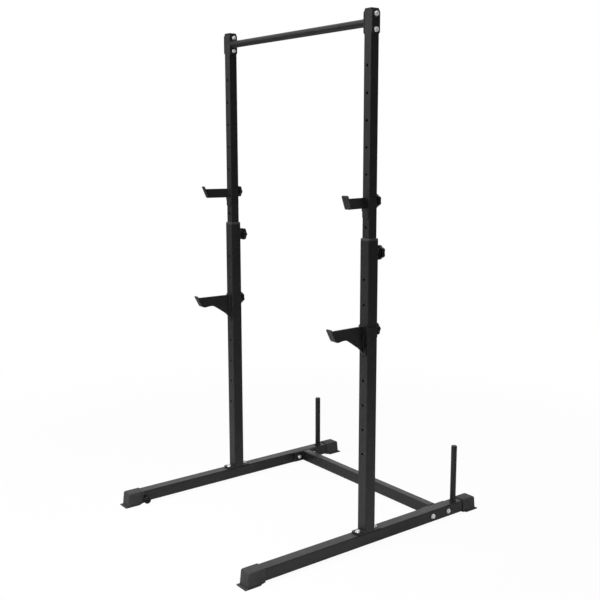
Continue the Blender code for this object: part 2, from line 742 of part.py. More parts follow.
def pull_up_bar():
    # the round tube with a plate and a flare welded on each end, open right through
    reach = UPRIGHT_SPACING / 2 - UPPER_SIZE / 2 - GAP
    centre = (UPRIGHT_Y, BAR_Z)
    bar = rod(BAR_RADIUS, "X", centre, END_PLATE_THICK / 2 - reach, reach - END_PLATE_THICK / 2)
    for side in SIDES:
        join(bar, end_plate(side, inner=True), weld_flare(side))
    return cut(bar, rod(BAR_RADIUS - BAR_WALL, "X", centre, -reach - OVERSHOOT, reach + OVERSHOOT))


def bar_bolt(side, offset):
    sign = SIDES[side]
    outer = UPPER_SIZE / 2 + 2 * GAP + END_PLATE_THICK
    seat = (side_x(side) + sign * outer, UPRIGHT_Y, BAR_Z + offset)
    return bolt_and_nut(seat, (-sign, 0, 0), 2 * outer - GAP, flanged=False)


# Brackets, made at x = 0 and y = 0 on the upright's centre line, then moved to their side

def bracket(tube_size, stud_z, plate, cheek, tongue_width):
    # plate and cheek are their lowest and highest points, measured from the stud
    inside = tube_size / 2 + GAP
    outside = inside + BRACKET_THICK
    bottom = stud_z + plate[0]
    top = stud_z + plate[1]
    cheek_bottom = stud_z + cheek[0]
    cheek_top = stud_z + cheek[1]
    knee = (outside - TUBE_CORNER, cheek_bottom - BRACKET_KNEE)
    half = tongue_width / 2
    right = [
        (half - TONGUE_CORNER, bottom), (half - TONGUE_CORNER / 2, bottom + TONGUE_CORNER / 5),
        (half, bottom + TONGUE_CORNER), knee, (outside, cheek_bottom), (outside, top),
    ]
    outline = right + [(-x, z) for x, z in reversed(right)]
    shape = prism(outline, "Y", -outside, -inside)
    for sign in (-1, 1):
        low, high = sorted((sign * inside, sign * outside))
        wing = block((low, -outside + BRACKET_THICK / 3, cheek_bottom + GAP),
                     (high, tube_size / 2 - CHEEK_SHORT_OF_TUBE, cheek_top - GAP))
        join(shape, wing)
    stud = rod(BOLT_RADIUS, "Y", (0, stud_z), -outside + BRACKET_THICK / 3, tube_size / 2 + STUD_PAST_TUBE,
               SHANK_SIDES)
    return join(shape, stud)


def slanted_lip(lip, stud_z):
    # lip gives two points of its middle line: depth in front of the plate, height from the stud
    bottom, top = lip
    run = Vector((top[0] - bottom[0], top[1] - bottom[1])).normalized()
    across = Vector((-run.y, run.x)) * LIP_THICK / 2
    corners = []
    for point, sign in ((bottom, 1), (top, 1), (top, -1), (bottom, -1)):
        corners.append((-(point[0] + sign * across.x), stud_z + point[1] + sign * across.y))
    return prism(corners, "X", -LIP_WIDTH / 2, LIP_WIDTH / 2)


def arm_with_lip(side, shape, stud_z, underside, tip, top, lip, tube_size, toe_out):
    plate_front = tube_size / 2 + GAP + BRACKET_THICK
    outline = underside + [(tip, top), (-ARM_INTO_PLATE, top)]
    arm = prism([(-depth, stud_z + height) for depth, height in outline], "X", -ARM_THICK / 2, ARM_THICK / 2)
    join(arm, slanted_lip(lip, stud_z))
    turn = Matrix.Rotation(SIDES[side] * toe_out, 4, "Z")
    transform(arm, Matrix.Translation((0, -plate_front, 0)) @ turn)
    join(shape, arm)
    return transform(shape, Matrix.Translation((side_x(side), UPRIGHT_Y, 0)))


def bar_hook(side):
    shape = bracket(UPPER_SIZE, HOOK_Z, HOOK_PLATE, HOOK_CHEEK, HOOK_TONGUE_WIDTH)
    return arm_with_lip(side, shape, HOOK_Z, HOOK_ARM_UNDERSIDE, HOOK_ARM_TIP, HOOK_ARM_TOP, HOOK_LIP,
                        UPPER_SIZE, HOOK_TOE_OUT)


def safety_arm(side):
    shape = bracket(LOWER_SIZE, SAFETY_Z, SAFETY_PLATE, SAFETY_CHEEK, SAFETY_TONGUE_WIDTH)
    return arm_with_lip(side, shape, SAFETY_Z, SAFETY_ARM_UNDERSIDE, SAFETY_ARM_TIP, SAFETY_ARM_TOP,
                        SAFETY_LIP, LOWER_SIZE, SAFETY_TOE_OUT)


def knob_front(tube_size):
    return UPRIGHT_Y + tube_size / 2 + GAP


def clamp_knob(side, height, tube_size):
    centre = (side_x(side), height)
    front = knob_front(tube_size)
    back = front + KNOB_NECK + KNOB_HEAD
    outline = lobed_outline(KNOB_RADIUS, KNOB_LOBES, KNOB_LOBE_DEPTH, centre)
    knob = prism(outline, "Y", front + KNOB_NECK, back)
    join(knob, rod(KNOB_NECK_RADIUS, "Y", centre, front, front + KNOB_NECK + 0.002))
    return cut(knob, rod(BOLT_RADIUS + GAP, "Y", centre, front - OVERSHOOT, front + STUD_PAST_TUBE + 0.001))


# Plate pegs and transport wheels

def plate_peg(side):
    origin = (side_x(side), PEG_Y, RAIL_TOP + GAP)
    length = PEG_TOP - RAIL_TOP - GAP
    profile = [(PEG_RADIUS - PEG_WALL, 0), (PEG_FLARE_RADIUS, 0), (PEG_FLARE_RADIUS - 0.001, PEG_FLARE_FOOT),
               (PEG_RADIUS, PEG_FLARE_HEIGHT), (PEG_RADIUS, length), (PEG_RADIUS - PEG_WALL, length)]
    return turned(profile, origin, (0, 0, 1), hollow=True)


def peg_cap(side):
    plug = PEG_RADIUS - PEG_WALL - GAP
    seat = PEG_CAP_PLUG + GAP
    profile = [(0, 0), (plug, 0), (plug, seat), (PEG_RADIUS, seat),
               (PEG_RADIUS, seat + PEG_CAP_HEIGHT / 2), (PEG_RADIUS - PEG_CAP_SLOPE, seat + PEG_CAP_HEIGHT),
               (0, seat + PEG_CAP_HEIGHT)]
    return turned(profile, (side_x(side), PEG_Y, PEG_TOP - PEG_CAP_PLUG), (0, 0, 1))


def wheel_face(side):
    # the wheel's face next to the rail
    return side_x(side) - SIDES[side] * (RAIL_SIZE / 2 + WHEEL_STAND_OFF)


def transport_wheel(side):
    bore = AXLE_RADIUS + GAP
    edge = WHEEL_EDGE
    profile = [(bore, 0), (WHEEL_RADIUS - edge, 0), (WHEEL_RADIUS, edge), (WHEEL_RADIUS, WHEEL_WIDTH - edge),
               (WHEEL_RADIUS - edge, WHEEL_WIDTH), (bore, WHEEL_WIDTH)]
    return turned(profile, (wheel_face(side), WHEEL_Y, WHEEL_Z), (-SIDES[side], 0, 0), hollow=True)


def wheel_axle(side):
    # a shoulder bolt through the wheel and the rail's inner wall, with its nut inside the rail
    head = WHEEL_WIDTH + GAP
    shoulder_end = -(WHEEL_STAND_OFF - GAP)
    nut_seat = -(WHEEL_STAND_OFF + RAIL_WALL + GAP)
    end = nut_seat - AXLE_NUT_HEIGHT - THREAD_PAST_NUT
    profile = [
        (0, end), (AXLE_RADIUS, end), (AXLE_RADIUS, shoulder_end), (AXLE_SHOULDER_RADIUS, shoulder_end),
        (AXLE_SHOULDER_RADIUS, -GAP), (AXLE_RADIUS, -GAP), (AXLE_RADIUS, head),
        (AXLE_HEAD_RADIUS, head), (AXLE_HEAD_RADIUS, head + AXLE_HEAD_THICK / 2),
        (AXLE_HEAD_RADIUS - AXLE_HEAD_SLOPE, head + AXLE_HEAD_THICK), (0, head + AXLE_HEAD_THICK),
    ]
    origin = Vector((wheel_face(side), WHEEL_Y, WHEEL_Z))
    axle = turned(profile, origin, (-SIDES[side], 0, 0))
    nut_ends = [origin.x - SIDES[side] * along for along in (nut_seat, nut_seat - AXLE_NUT_HEIGHT)]
    flats_down = hexagon(AXLE_NUT_ACROSS, (WHEEL_Y, WHEEL_Z), start=0)
    return join(axle, prism(flats_down, "X", min(nut_ends), max(nut_ends)))


def build_base(root):
    for side in SIDES:
        sub_part("base_rail_" + side, base_rail(side), satin_powder_coat, root)
        sub_part("end_shoe_front_" + side, end_shoe(side, -1), shoe_plastic, root)
        sub_part("end_shoe_rear_" + side, end_shoe(side, 1), shoe_plastic, root)
        sub_part("plate_peg_" + side, plate_peg(side), satin_powder_coat, root)
        sub_part("peg_cap_" + side, peg_cap(side), knob_plastic, root)
        sub_part("wheel_axle_" + side, wheel_axle(side), black_steel, root)
        for end, offset in front_and_rear(FLANGE_BOLT_OFFSET):
            name = "crossmember_bolt_" + side + "_" + end
            sub_part(name, crossmember_bolt(side, offset), zinc_steel, root)
        for end, offset in front_and_rear(BASE_BOLT_OFFSET):
            name = "base_plate_bolt_" + side + "_" + end
            sub_part(name, base_plate_bolt(side, offset), zinc_steel, root)
    sub_part("rear_crossmember", rear_crossmember(), satin_powder_coat, root)


def build_lower_uprights(root):
    for side in SIDES:
        sub_part("lower_upright_" + side, lower_upright(side), satin_powder_coat, root)
        sub_part("tube_bushing_" + side, tube_bushing(side), shoe_plastic, root)
        sub_part("pin_housing_" + side, pin_housing(side), black_steel, root)
        sub_part("pin_spring_" + side, pin_spring(side), spring_steel, root)


def build_upper_frame(upper):
    for side in SIDES:
        sub_part("upper_upright_" + side, upper_upright(side), satin_powder_coat, upper)
        sub_part("tube_glide_" + side, tube_glide(side), shoe_plastic, upper)
        sub_part("top_cap_" + side, top_cap(side), knob_plastic, upper)
        sub_part("bar_clamp_plate_" + side, end_plate(side, inner=False), satin_powder_coat, upper)
        for end, offset in (("upper", BAR_BOLT_OFFSET), ("lower", -BAR_BOLT_OFFSET)):
            sub_part("bar_bolt_" + side + "_" + end, bar_bolt(side, offset), zinc_steel, upper)
    sub_part("pull_up_bar", pull_up_bar(), satin_powder_coat, upper)


def build_moving_pieces(side):
    pin = body_empty("height_pin_origin_" + side, pin_origin(side))
    sub_part("pin_plunger_" + side, pin_plunger(side), zinc_steel, pin)
    sub_part("pin_knob_" + side, pin_knob(side), knob_plastic, pin)
    wheel = body_empty("wheel_origin_" + side, (wheel_face(side), WHEEL_Y, WHEEL_Z))
    sub_part("transport_wheel_" + side, transport_wheel(side), knob_plastic, wheel)
    holders = (
        ("hook", "bar_hook_", bar_hook, HOOK_Z, UPPER_SIZE),
        ("safety", "safety_arm_", safety_arm, SAFETY_Z, LOWER_SIZE),
    )
    for word, name, make, height, tube_size in holders:
        holder = body_empty(word + "_origin_" + side, (side_x(side), UPRIGHT_Y, height))
        sub_part(name + side, make(side), satin_powder_coat, holder)
        knob = body_empty(word + "_knob_origin_" + side, (side_x(side), knob_front(tube_size), height))
        sub_part(word + "_knob_" + side, clamp_knob(side, height, tube_size), knob_plastic, knob)


clear_scene()
root_empty = body_empty("stand_origin", (0, 0, 0))
upper_empty = body_empty("upper_frame_origin", (0, UPRIGHT_Y, BAR_Z))
build_base(root_empty)
build_lower_uprights(root_empty)
build_upper_frame(upper_empty)
for name in SIDES:
    build_moving_pieces(name)
bpy.context.view_layer.update()
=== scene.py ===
import bpy
import bmesh
from math import ceil, cos, pi, radians, sin
from mathutils import Matrix, Vector


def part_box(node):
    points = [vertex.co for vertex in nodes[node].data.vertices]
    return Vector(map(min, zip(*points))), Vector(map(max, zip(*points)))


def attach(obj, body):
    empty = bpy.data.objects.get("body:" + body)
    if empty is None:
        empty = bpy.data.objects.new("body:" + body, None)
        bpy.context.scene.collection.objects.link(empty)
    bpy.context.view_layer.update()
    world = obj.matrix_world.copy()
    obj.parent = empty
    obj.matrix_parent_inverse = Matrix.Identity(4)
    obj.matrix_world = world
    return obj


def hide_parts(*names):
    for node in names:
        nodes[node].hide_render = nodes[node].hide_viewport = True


# pull-up station, metres, +x is its right side, -y its front, floor at z = 0

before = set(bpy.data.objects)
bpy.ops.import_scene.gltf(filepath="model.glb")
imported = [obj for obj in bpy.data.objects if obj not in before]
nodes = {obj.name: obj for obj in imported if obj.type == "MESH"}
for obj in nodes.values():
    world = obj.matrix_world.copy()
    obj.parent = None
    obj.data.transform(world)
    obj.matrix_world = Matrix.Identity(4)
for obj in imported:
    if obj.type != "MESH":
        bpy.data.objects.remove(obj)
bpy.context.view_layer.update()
sides = {"left": -1, "right": 1}
print("frame loaded,", len(nodes), "CAD nodes")


# places read from the frame

def middle(node):
    low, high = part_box(node)
    return (low + high) / 2


def extent(node):
    low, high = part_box(node)
    return high - low


uprightX = {side: middle("upper_upright_" + side).x for side in sides}
uprightY = middle("upper_upright_right").y
hookHeight = middle("hook_knob_right").z
safetyHeight = middle("safety_knob_right").z
pinHeight = middle("pin_knob_right").z
barHeight = middle("pull_up_bar").z
lowerSize = 0.050
upperSize = extent("upper_upright_right").x
gap = 0.0003      # running gap between neighbours, as in the frame


# camera where the photograph was taken from, fitted to the edges and holes of the stand

photoCamera = {
    "place": (3.0406, -2.3038, 1.594),
    "heading": 52.658,      # degrees, turned left from straight ahead along +y
    "tiltDown": 9.748,
    "roll": -0.118,
    "lens": 53.95,      # millimetres on a 36 mm sensor
}


def makeCamera():
    data = bpy.data.cameras.new("photoCamera")
    data.sensor_width = 36
    data.lens = photoCamera["lens"]
    camera = bpy.data.objects.new("photoCamera", data)
    bpy.context.collection.objects.link(camera)
    heading = Matrix.Rotation(radians(photoCamera["heading"]), 4, "Z")
    tilt = Matrix.Rotation(radians(90 - photoCamera["tiltDown"]), 4, "X")
    roll = Matrix.Rotation(radians(photoCamera["roll"]), 4, "Z")
    camera.matrix_world = Matrix.Translation(photoCamera["place"]) @ heading @ tilt @ roll
    bpy.context.scene.camera = camera


# floor, white surroundings and three soft lamps

studio = {
    "floorSize": 60.0,
    "floorDrop": 0.0002,      # keeps the floor clear of the soles
    "floorColour": (0.80, 0.80, 0.80),
    "whiteNear": 0.95,      # how much of the floor's look to the camera is plain white
    "nearRadius": 0.9,
    "farRadius": 3.2,      # from here on it is all white
    "ambient": 0.15,
    "brightSide": 1.00,      # what gloss reflects of the surroundings, to the left and behind
    "darkSide": 0.06,      # and to the right
    "frontShare": 0.62,      # how much of that is left in front
}
lamps = {
    "key": {"place": (-1.0, -4.0, 3.8), "aim": (0.0, -0.3, 0.8), "size": 2.4, "power": 165, "spread": 180},
    "fill": {"place": (4.9, -1.4, 4.5), "aim": (0.3, 0.0, 0.9), "size": 2.0, "power": 60, "spread": 180},
    "top": {"place": (0.3, -0.5, 4.2), "aim": (0.3, -0.4, 0.0), "size": 2.0, "power": 18, "spread": 75},
}


def makeLamp(name, size, power, spread, place, aim):
    data = bpy.data.lights.new(name, "AREA")
    data.shape = "DISK"
    data.size = size
    data.energy = power
    data.spread = radians(spread)
    lamp = bpy.data.objects.new(name, data)
    bpy.context.collection.objects.link(lamp)
    look = Vector(aim) - Vector(place)
    turn = look.to_track_quat("-Z", "Y").to_matrix().to_4x4()
    lamp.matrix_world = Matrix.Translation(place) @ turn


def mathNode(tree, operation, first, second):
    node = tree.nodes.new("ShaderNodeMath")
    node.operation = operation
    tree.links.new(first, node.inputs[0])
    tree.links.new(second, node.inputs[1])
    return node.outputs[0]


def mixShaders(tree, factor, first, second):
    mix = tree.nodes.new("ShaderNodeMixShader")
    for source, socket in zip((factor, first, second), mix.inputs):
        tree.links.new(source, socket)
    return mix.outputs[0]


def spread(tree, value, low, high, fromLow=0.3, fromHigh=0.7):
    remap = tree.nodes.new("ShaderNodeMapRange")
    tree.links.new(value, remap.inputs["Value"])
    for socket, number in (("From Min", fromLow), ("From Max", fromHigh), ("To Min", low), ("To Max", high)):
        remap.inputs[socket].default_value = number
    return remap.outputs["Result"]


def makeWorld():
    world = bpy.data.worlds.new("studio")
    bpy.context.scene.world = world
    world.use_nodes = True
    tree = world.node_tree
    tree.nodes.clear()
    path = tree.nodes.new("ShaderNodeLightPath").outputs
    mirrorRay = mathNode(tree, "MAXIMUM", path["Is Glossy Ray"], path["Is Transmission Ray"])
    ambient = tree.nodes.new("ShaderNodeBackground")
    ambient.inputs["Strength"].default_value = studio["ambient"]
    mirrored = tree.nodes.new("ShaderNodeBackground")
    # white walls to the left and behind, dim ones to the right and in front
    direction = tree.nodes.new("ShaderNodeSeparateXYZ")
    tree.links.new(tree.nodes.new("ShaderNodeTexCoord").outputs["Generated"], direction.inputs[0])
    sideways = spread(tree, direction.outputs["X"], studio["brightSide"], studio["darkSide"],
                      fromLow=-0.05, fromHigh=0.60)
    frontways = spread(tree, direction.outputs["Y"], studio["frontShare"], 1.0, fromLow=-0.35, fromHigh=0.35)
    tree.links.new(mathNode(tree, "MULTIPLY", sideways, frontways), mirrored.inputs["Strength"])
    white = tree.nodes.new("ShaderNodeBackground")
    white.inputs["Strength"].default_value = 1.0
    for background in (ambient, mirrored, white):
        background.inputs["Color"].default_value = (1, 1, 1, 1)
    # what lights the object is dim, what its gloss sees are the walls, and the camera sees plain white
    unseen = mixShaders(tree, mirrorRay, ambient.outputs[0], mirrored.outputs[0])
    surroundings = mixShaders(tree, path["Is Camera Ray"], unseen, white.outputs[0])
    output = tree.nodes.new("ShaderNodeOutputWorld")
    tree.links.new(surroundings, output.inputs["Surface"])


def makeFloor():
    # a pale floor that shows the shadows near the object
    bm = bmesh.new()
    bmesh.ops.create_grid(bm, x_segments=1, y_segments=1, size=studio["floorSize"] / 2)
    mesh = bpy.data.meshes.new("floor")
    bm.to_mesh(mesh)
    bm.free()
    floor = bpy.data.objects.new("floor", mesh)
    floor.location.z = -studio["floorDrop"]
    bpy.context.collection.objects.link(floor)
    material = bpy.data.materials.new("paleFloor")
    material.use_nodes = True
    tree = material.node_tree
    tree.nodes.clear()
    matte = tree.nodes.new("ShaderNodeBsdfDiffuse")
    matte.inputs["Color"].default_value = (*studio["floorColour"], 1)
    white = tree.nodes.new("ShaderNodeEmission")
    white.inputs["Strength"].default_value = 1.0
    # the shadows fade into white away from the object
    distance = tree.nodes.new("ShaderNodeVectorMath")
    distance.operation = "LENGTH"
    tree.links.new(tree.nodes.new("ShaderNodeTexCoord").outputs["Object"], distance.inputs[0])
    whiteness = tree.nodes.new("ShaderNodeMapRange")
    whiteness.interpolation_type = "SMOOTHSTEP"
    tree.links.new(distance.outputs["Value"], whiteness.inputs["Value"])
    whiteness.inputs["From Min"].default_value = studio["nearRadius"]
    whiteness.inputs["From Max"].default_value = studio["farRadius"]
    whiteness.inputs["To Min"].default_value = studio["whiteNear"]
    cameraRay = tree.nodes.new("ShaderNodeLightPath").outputs["Is Camera Ray"]
    share = mathNode(tree, "MULTIPLY", cameraRay, whiteness.outputs["Result"])
    output = tree.nodes.new("ShaderNodeOutputMaterial")
    tree.links.new(mixShaders(tree, share, matte.outputs[0], white.outputs[0]), output.inputs["Surface"])
    mesh.materials.append(material)


makeCamera()
makeWorld()
makeFloor()
for lampName, lamp in lamps.items():
    makeLamp(lampName, lamp["size"], lamp["power"], lamp["spread"], lamp["place"], lamp["aim"])
bpy.context.scene.view_settings.view_transform = "Standard"
print("camera, floor and lamps made")


# finishes

def startFinish(name, roughness, metallic=0.0, specular=0.5):
    material = bpy.data.materials.new(name)
    material.use_nodes = True
    tree = material.node_tree
    shader = tree.nodes["Principled BSDF"]
    shader.inputs["Roughness"].default_value = roughness
    shader.inputs["Metallic"].default_value = metallic
    shader.inputs["Specular IOR Level"].default_value = specular
    place = tree.nodes.new("ShaderNodeTexCoord").outputs["Object"]
    return material, tree, shader, place


def noise(tree, place, scale, detail, roughness=0.55):
    texture = tree.nodes.new("ShaderNodeTexNoise")
    texture.inputs["Scale"].default_value = scale
    texture.inputs["Detail"].default_value = detail
    texture.inputs["Roughness"].default_value = roughness
    tree.links.new(place, texture.inputs["Vector"])
    return texture.outputs["Fac"]


def mixColours(tree, factor, first, second):
    mix = tree.nodes.new("ShaderNodeMix")
    mix.data_type = "RGBA"
    tree.links.new(factor, mix.inputs["Factor"])
    for socket, colour in ((mix.inputs["A"], first), (mix.inputs["B"], second)):
        if isinstance(colour, tuple):
            socket.default_value = (*colour, 1)
        else:
            tree.links.new(colour, socket)
    return mix.outputs["Result"]


def addBumps(tree, shader, layers):
    # layers of (height, how deep in metres), the first lies lowest
    normal = None
    for height, depth in layers:
        bump = tree.nodes.new("ShaderNodeBump")
        bump.inputs["Strength"].default_value = 1.0
        bump.inputs["Distance"].default_value = depth
        tree.links.new(height, bump.inputs["Height"])
        if normal:
            tree.links.new(normal, bump.inputs["Normal"])
        normal = bump.outputs["Normal"]
    tree.links.new(normal, shader.inputs["Normal"])


def edgeMask(tree, radius):
    # 1 along outer edges, from how far a rounded normal leans away from the real one
    rounded = tree.nodes.new("ShaderNodeBevel")
    rounded.samples = 6
    rounded.inputs["Radius"].default_value = radius
    geometry = tree.nodes.new("ShaderNodeNewGeometry")
    dot = tree.nodes.new("ShaderNodeVectorMath")
    dot.operation = "DOT_PRODUCT"
    tree.links.new(rounded.outputs[0], dot.inputs[0])
    tree.links.new(geometry.outputs["Normal"], dot.inputs[1])
    return spread(tree, dot.outputs["Value"], 1.0, 0.0, fromLow=0.80, fromHigh=0.99)


coatLook = {
    "colour": (0.0085, 0.0085, 0.0090),
    "paler": (0.0125, 0.0125, 0.0130),
    # paler colour along the edges: partly the coat thinning there, partly a painted highlight
    "edge": (0.050, 0.050, 0.052),
    "roughness": (0.34, 0.44),
    "specular": 0.36,
    "cloud": 9.0,      # the scales of the patterns are per metre
    "smudge": 22.0,
    "wear": 120.0,
    "thinCoatAndSheenShare": (0.25, 0.9),      # how much of an edge is paler: partly thinner coat, partly a painted highlight
    "edgeWidth": 0.0012,
    "flow": 260.0,
    "flowDepth": 0.00004,
    "grain": 1100.0,      # fine orange peel
    "grainDepth": 0.000022,
}


def powderCoat():
    look = coatLook
    material, tree, shader, place = startFinish("powderCoat", 0.4, specular=look["specular"])
    cloudy = noise(tree, place, look["cloud"], detail=4)
    base = mixColours(tree, spread(tree, cloudy, 0, 1), look["colour"], look["paler"])
    # edges turn paler in patches: partly thin coat, partly a painted highlight along the edges
    edges = edgeMask(tree, look["edgeWidth"])
    patchy = noise(tree, place, look["wear"], detail=2)
    paledEdges = mathNode(tree, "MULTIPLY", edges, spread(tree, patchy, *look["thinCoatAndSheenShare"]))
    tree.links.new(mixColours(tree, paledEdges, base, look["edge"]), shader.inputs["Base Color"])
    smudges = noise(tree, place, look["smudge"], detail=5, roughness=0.6)
    tree.links.new(spread(tree, smudges, *look["roughness"]), shader.inputs["Roughness"])
    peel = noise(tree, place, look["grain"], detail=1)
    flow = noise(tree, place, look["flow"], detail=2)
    addBumps(tree, shader, [(flow, look["flowDepth"]), (peel, look["grainDepth"])])
    return material


plasticLook = {
    "cloud": 30.0,
    "smudge": 60.0,
    "smoother": 0.05,      # how far the roughness goes down and up
    "rougher": 0.07,
    "edgeWidth": 0.0010,
    "edgeShare": 0.7,
    "edgeGain": 1.7,      # the edges' colour against the paler colour
}


def mouldedPlastic(name, colour, paler, roughness, grain, depth, specular):
    look = plasticLook
    material, tree, shader, place = startFinish(name, roughness, specular=specular)
    cloudy = noise(tree, place, look["cloud"], detail=4)
    edges = edgeMask(tree, look["edgeWidth"])
    base = mixColours(tree, spread(tree, cloudy, 0, 1), colour, paler)
    # the edges are made paler than the rest of the plastic
    paleEdgeColour = tuple(min(1.0, c * look["edgeGain"]) for c in paler)
    paledEdges = spread(tree, edges, 0, look["edgeShare"], fromLow=0, fromHigh=1)
    tree.links.new(mixColours(tree, paledEdges, base, paleEdgeColour), shader.inputs["Base Color"])
    smudges = noise(tree, place, look["smudge"], detail=4)
    tree.links.new(spread(tree, smudges, roughness - look["smoother"], roughness + look["rougher"]),
                   shader.inputs["Roughness"])
    cells = tree.nodes.new("ShaderNodeTexVoronoi")
    cells.inputs["Scale"].default_value = grain
    tree.links.new(place, cells.inputs["Vector"])
    coarse = noise(tree, place, grain / 3, detail=2)
    addBumps(tree, shader, [(coarse, depth), (cells.outputs["Distance"], depth)])
    return material


steelLook = {"tint": 180.0, "grain": 900.0, "grainDepth": 0.00001, "smoother": 0.07, "rougher": 0.10}


def platedSteel(name, colour, warmer, roughness, metallic=1.0):
    look = steelLook
    material, tree, shader, place = startFinish(name, roughness, metallic=metallic)
    tint = noise(tree, place, look["tint"], detail=3)
    tree.links.new(mixColours(tree, spread(tree, tint, 0, 1), colour, warmer), shader.inputs["Base Color"])
    grain = noise(tree, place, look["grain"], detail=2)
    tree.links.new(spread(tree, grain, roughness - look["smoother"], roughness + look["rougher"]),
                   shader.inputs["Roughness"])
    addBumps(tree, shader, [(grain, look["grainDepth"])])
    return material


finishes = {
    "coat": powderCoat(),
    "shoe": mouldedPlastic("shoePlastic", (0.038, 0.038, 0.040), (0.049, 0.049, 0.051), roughness=0.62,
                           grain=1900.0, depth=0.00003, specular=0.26),
    "knob": mouldedPlastic("knobPlastic", (0.007, 0.007, 0.0075), (0.011, 0.011, 0.0115), roughness=0.40,
                           grain=2400.0, depth=0.000015, specular=0.25),
    "wheel": mouldedPlastic("wheelRubber", (0.008, 0.008, 0.008), (0.013, 0.013, 0.013), roughness=0.60,
                            grain=1500.0, depth=0.00003, specular=0.20),
    "zinc": platedSteel("zincPlate", (0.88, 0.89, 0.90), (0.80, 0.80, 0.79), 0.36, metallic=0.4),
    "black": platedSteel("blackSteel", (0.035, 0.035, 0.036), (0.026, 0.025, 0.024), 0.40),
    "steel": platedSteel("springSteel", (0.42, 0.42, 0.43), (0.36, 0.35, 0.34), 0.30),
}
print("finishes made")


# modelling tools shared by the pieces

mergeWithin = 0.00001
tiny = 0.0001      # slack where edges are picked by their place
slack = 0.001      # the same where they lie further apart
past = 0.015      # how far a drill starts outside what it cuts
cut = 0.01      # the same for a short hollow
overlap = 0.001      # how far two shapes of a piece run into each other
roundSteps = 6
outlineSteps = 8
sharpAngle = radians(60)


def roundOff(bm, geom, offset, segments, affect="EDGES"):
    bmesh.ops.bevel(bm, geom=geom, offset=offset, offset_type="OFFSET", segments=segments, profile=0.5,
                    affect=affect, material=-1)


def newVerts(grown):
    return [item for item in grown["geom"] if isinstance(item, bmesh.types.BMVert)]


def startBlock(width, depth, height, corner=0.0):
    # block standing on z = 0, its upright edges rounded
    bm = bmesh.new()
    bmesh.ops.create_cube(bm, size=1)
    bmesh.ops.translate(bm, vec=(0, 0, 0.5), verts=bm.verts)
    bmesh.ops.scale(bm, vec=(width, depth, height), verts=bm.verts)
    if corner:
        upright = [e for e in bm.edges if abs(e.verts[0].co.z - e.verts[1].co.z) > height / 2]
        roundOff(bm, upright, corner, roundSteps)
    return bm


def squareTube(width, depth, corner, wall, length):
    # tube along z from 0 to length, with rounded corners and open ends
    bm = startBlock(width, depth, length, corner)
    ends = [f for f in bm.faces if abs(f.normal.z) > 0.9]
    for end in ends:
        bmesh.ops.inset_region(bm, faces=[end], thickness=wall, use_even_offset=True)
    mouths = [edge for end in ends for edge in end.edges]
    bmesh.ops.delete(bm, geom=ends, context="FACES_ONLY")
    bmesh.ops.bridge_loops(bm, edges=mouths)
    bmesh.ops.recalc_face_normals(bm, faces=bm.faces)
    return bm


def turnedShape(profile, steps=48, hollow=False):
    # profile of (radius, height) points, turned about z
    bm = bmesh.new()
    verts = [bm.verts.new((radius, 0, height)) for radius, height in profile]
    edges = [bm.edges.new(pair) for pair in zip(verts, verts[1:])]
    if hollow:
        edges.append(bm.edges.new((verts[-1], verts[0])))
    bmesh.ops.spin(bm, geom=verts + edges, axis=(0, 0, 1), cent=(0, 0, 0), dvec=(0, 0, 0),
                   angle=2 * pi, steps=steps, use_merge=True, use_duplicate=False)
    bmesh.ops.remove_doubles(bm, verts=bm.verts, dist=mergeWithin)
    bmesh.ops.recalc_face_normals(bm, faces=bm.faces)
    return bm


def plateFromOutline(points, thick, rounding=None):
    # plate in the y-z plane, half its thickness on each side; rounding maps a corner's number to a radius
    bm = bmesh.new()
    verts = [bm.verts.new((-thick / 2, y, z)) for y, z in points]
    bm.faces.new(verts)
    for number, radius in (rounding or {}).items():
        roundOff(bm, [verts[number]], radius, outlineSteps, "VERTICES")
    grown = bmesh.ops.extrude_face_region(bm, geom=list(bm.faces))
    bmesh.ops.translate(bm, verts=newVerts(grown), vec=(thick, 0, 0))
    bmesh.ops.recalc_face_normals(bm, faces=bm.faces)
    return bm


def roundedPlate(half, thick, corner):
    outline = [(-half.x, -half.y), (half.x, -half.y), (half.x, half.y), (-half.x, half.y)]
    return plateFromOutline(outline, thick, {n: corner for n in range(4)})


def rod(radius, length, sidesRound=32):
    bm = bmesh.new()
    bmesh.ops.create_cone(bm, cap_ends=True, segments=sidesRound, radius1=radius, radius2=radius,
                          depth=length)
    bmesh.ops.translate(bm, vec=(0, 0, length / 2), verts=bm.verts)
    return bm


def alongAxis(direction, place):
    # turns z to the direction, and moves the origin to the place
    turn = Vector(direction).to_track_quat("Z", "Y").to_matrix().to_4x4()
    return Matrix.Translation(place) @ turn


def moved(bm, matrix):
    bmesh.ops.transform(bm, matrix=matrix, verts=bm.verts)
    if matrix.to_3x3().determinant() < 0:
        bmesh.ops.reverse_faces(bm, faces=bm.faces)
    return bm


def shifted(bm, x, y, z):
    return moved(bm, Matrix.Translation((x, y, z)))


def drill(radius, length, direction, start):
    # the rod that cuts a round hole
    return moved(rod(radius, length), alongAxis(direction, start))


def joined(shapes):
    bm = bmesh.new()
    for shape in shapes:
        mesh = bpy.data.meshes.new("part")
        shape.to_mesh(mesh)
        shape.free()
        bm.from_mesh(mesh)
        bpy.data.meshes.remove(mesh)
    return bm


def looseObject(bm):
    mesh = bpy.data.meshes.new("loose")
    bm.to_mesh(mesh)
    bm.free()
    loose = bpy.data.objects.new("loose", mesh)
    bpy.context.collection.objects.link(loose)
    return loose


def evaluated(thing):
    # the shape with its modifiers applied, and the object gone
    mesh = bpy.data.meshes.new_from_object(thing.evaluated_get(bpy.context.evaluated_depsgraph_get()))
    bpy.data.objects.remove(thing, do_unlink=True)
    bm = bmesh.new()
    bm.from_mesh(mesh)
    bpy.data.meshes.remove(mesh)
    return bm


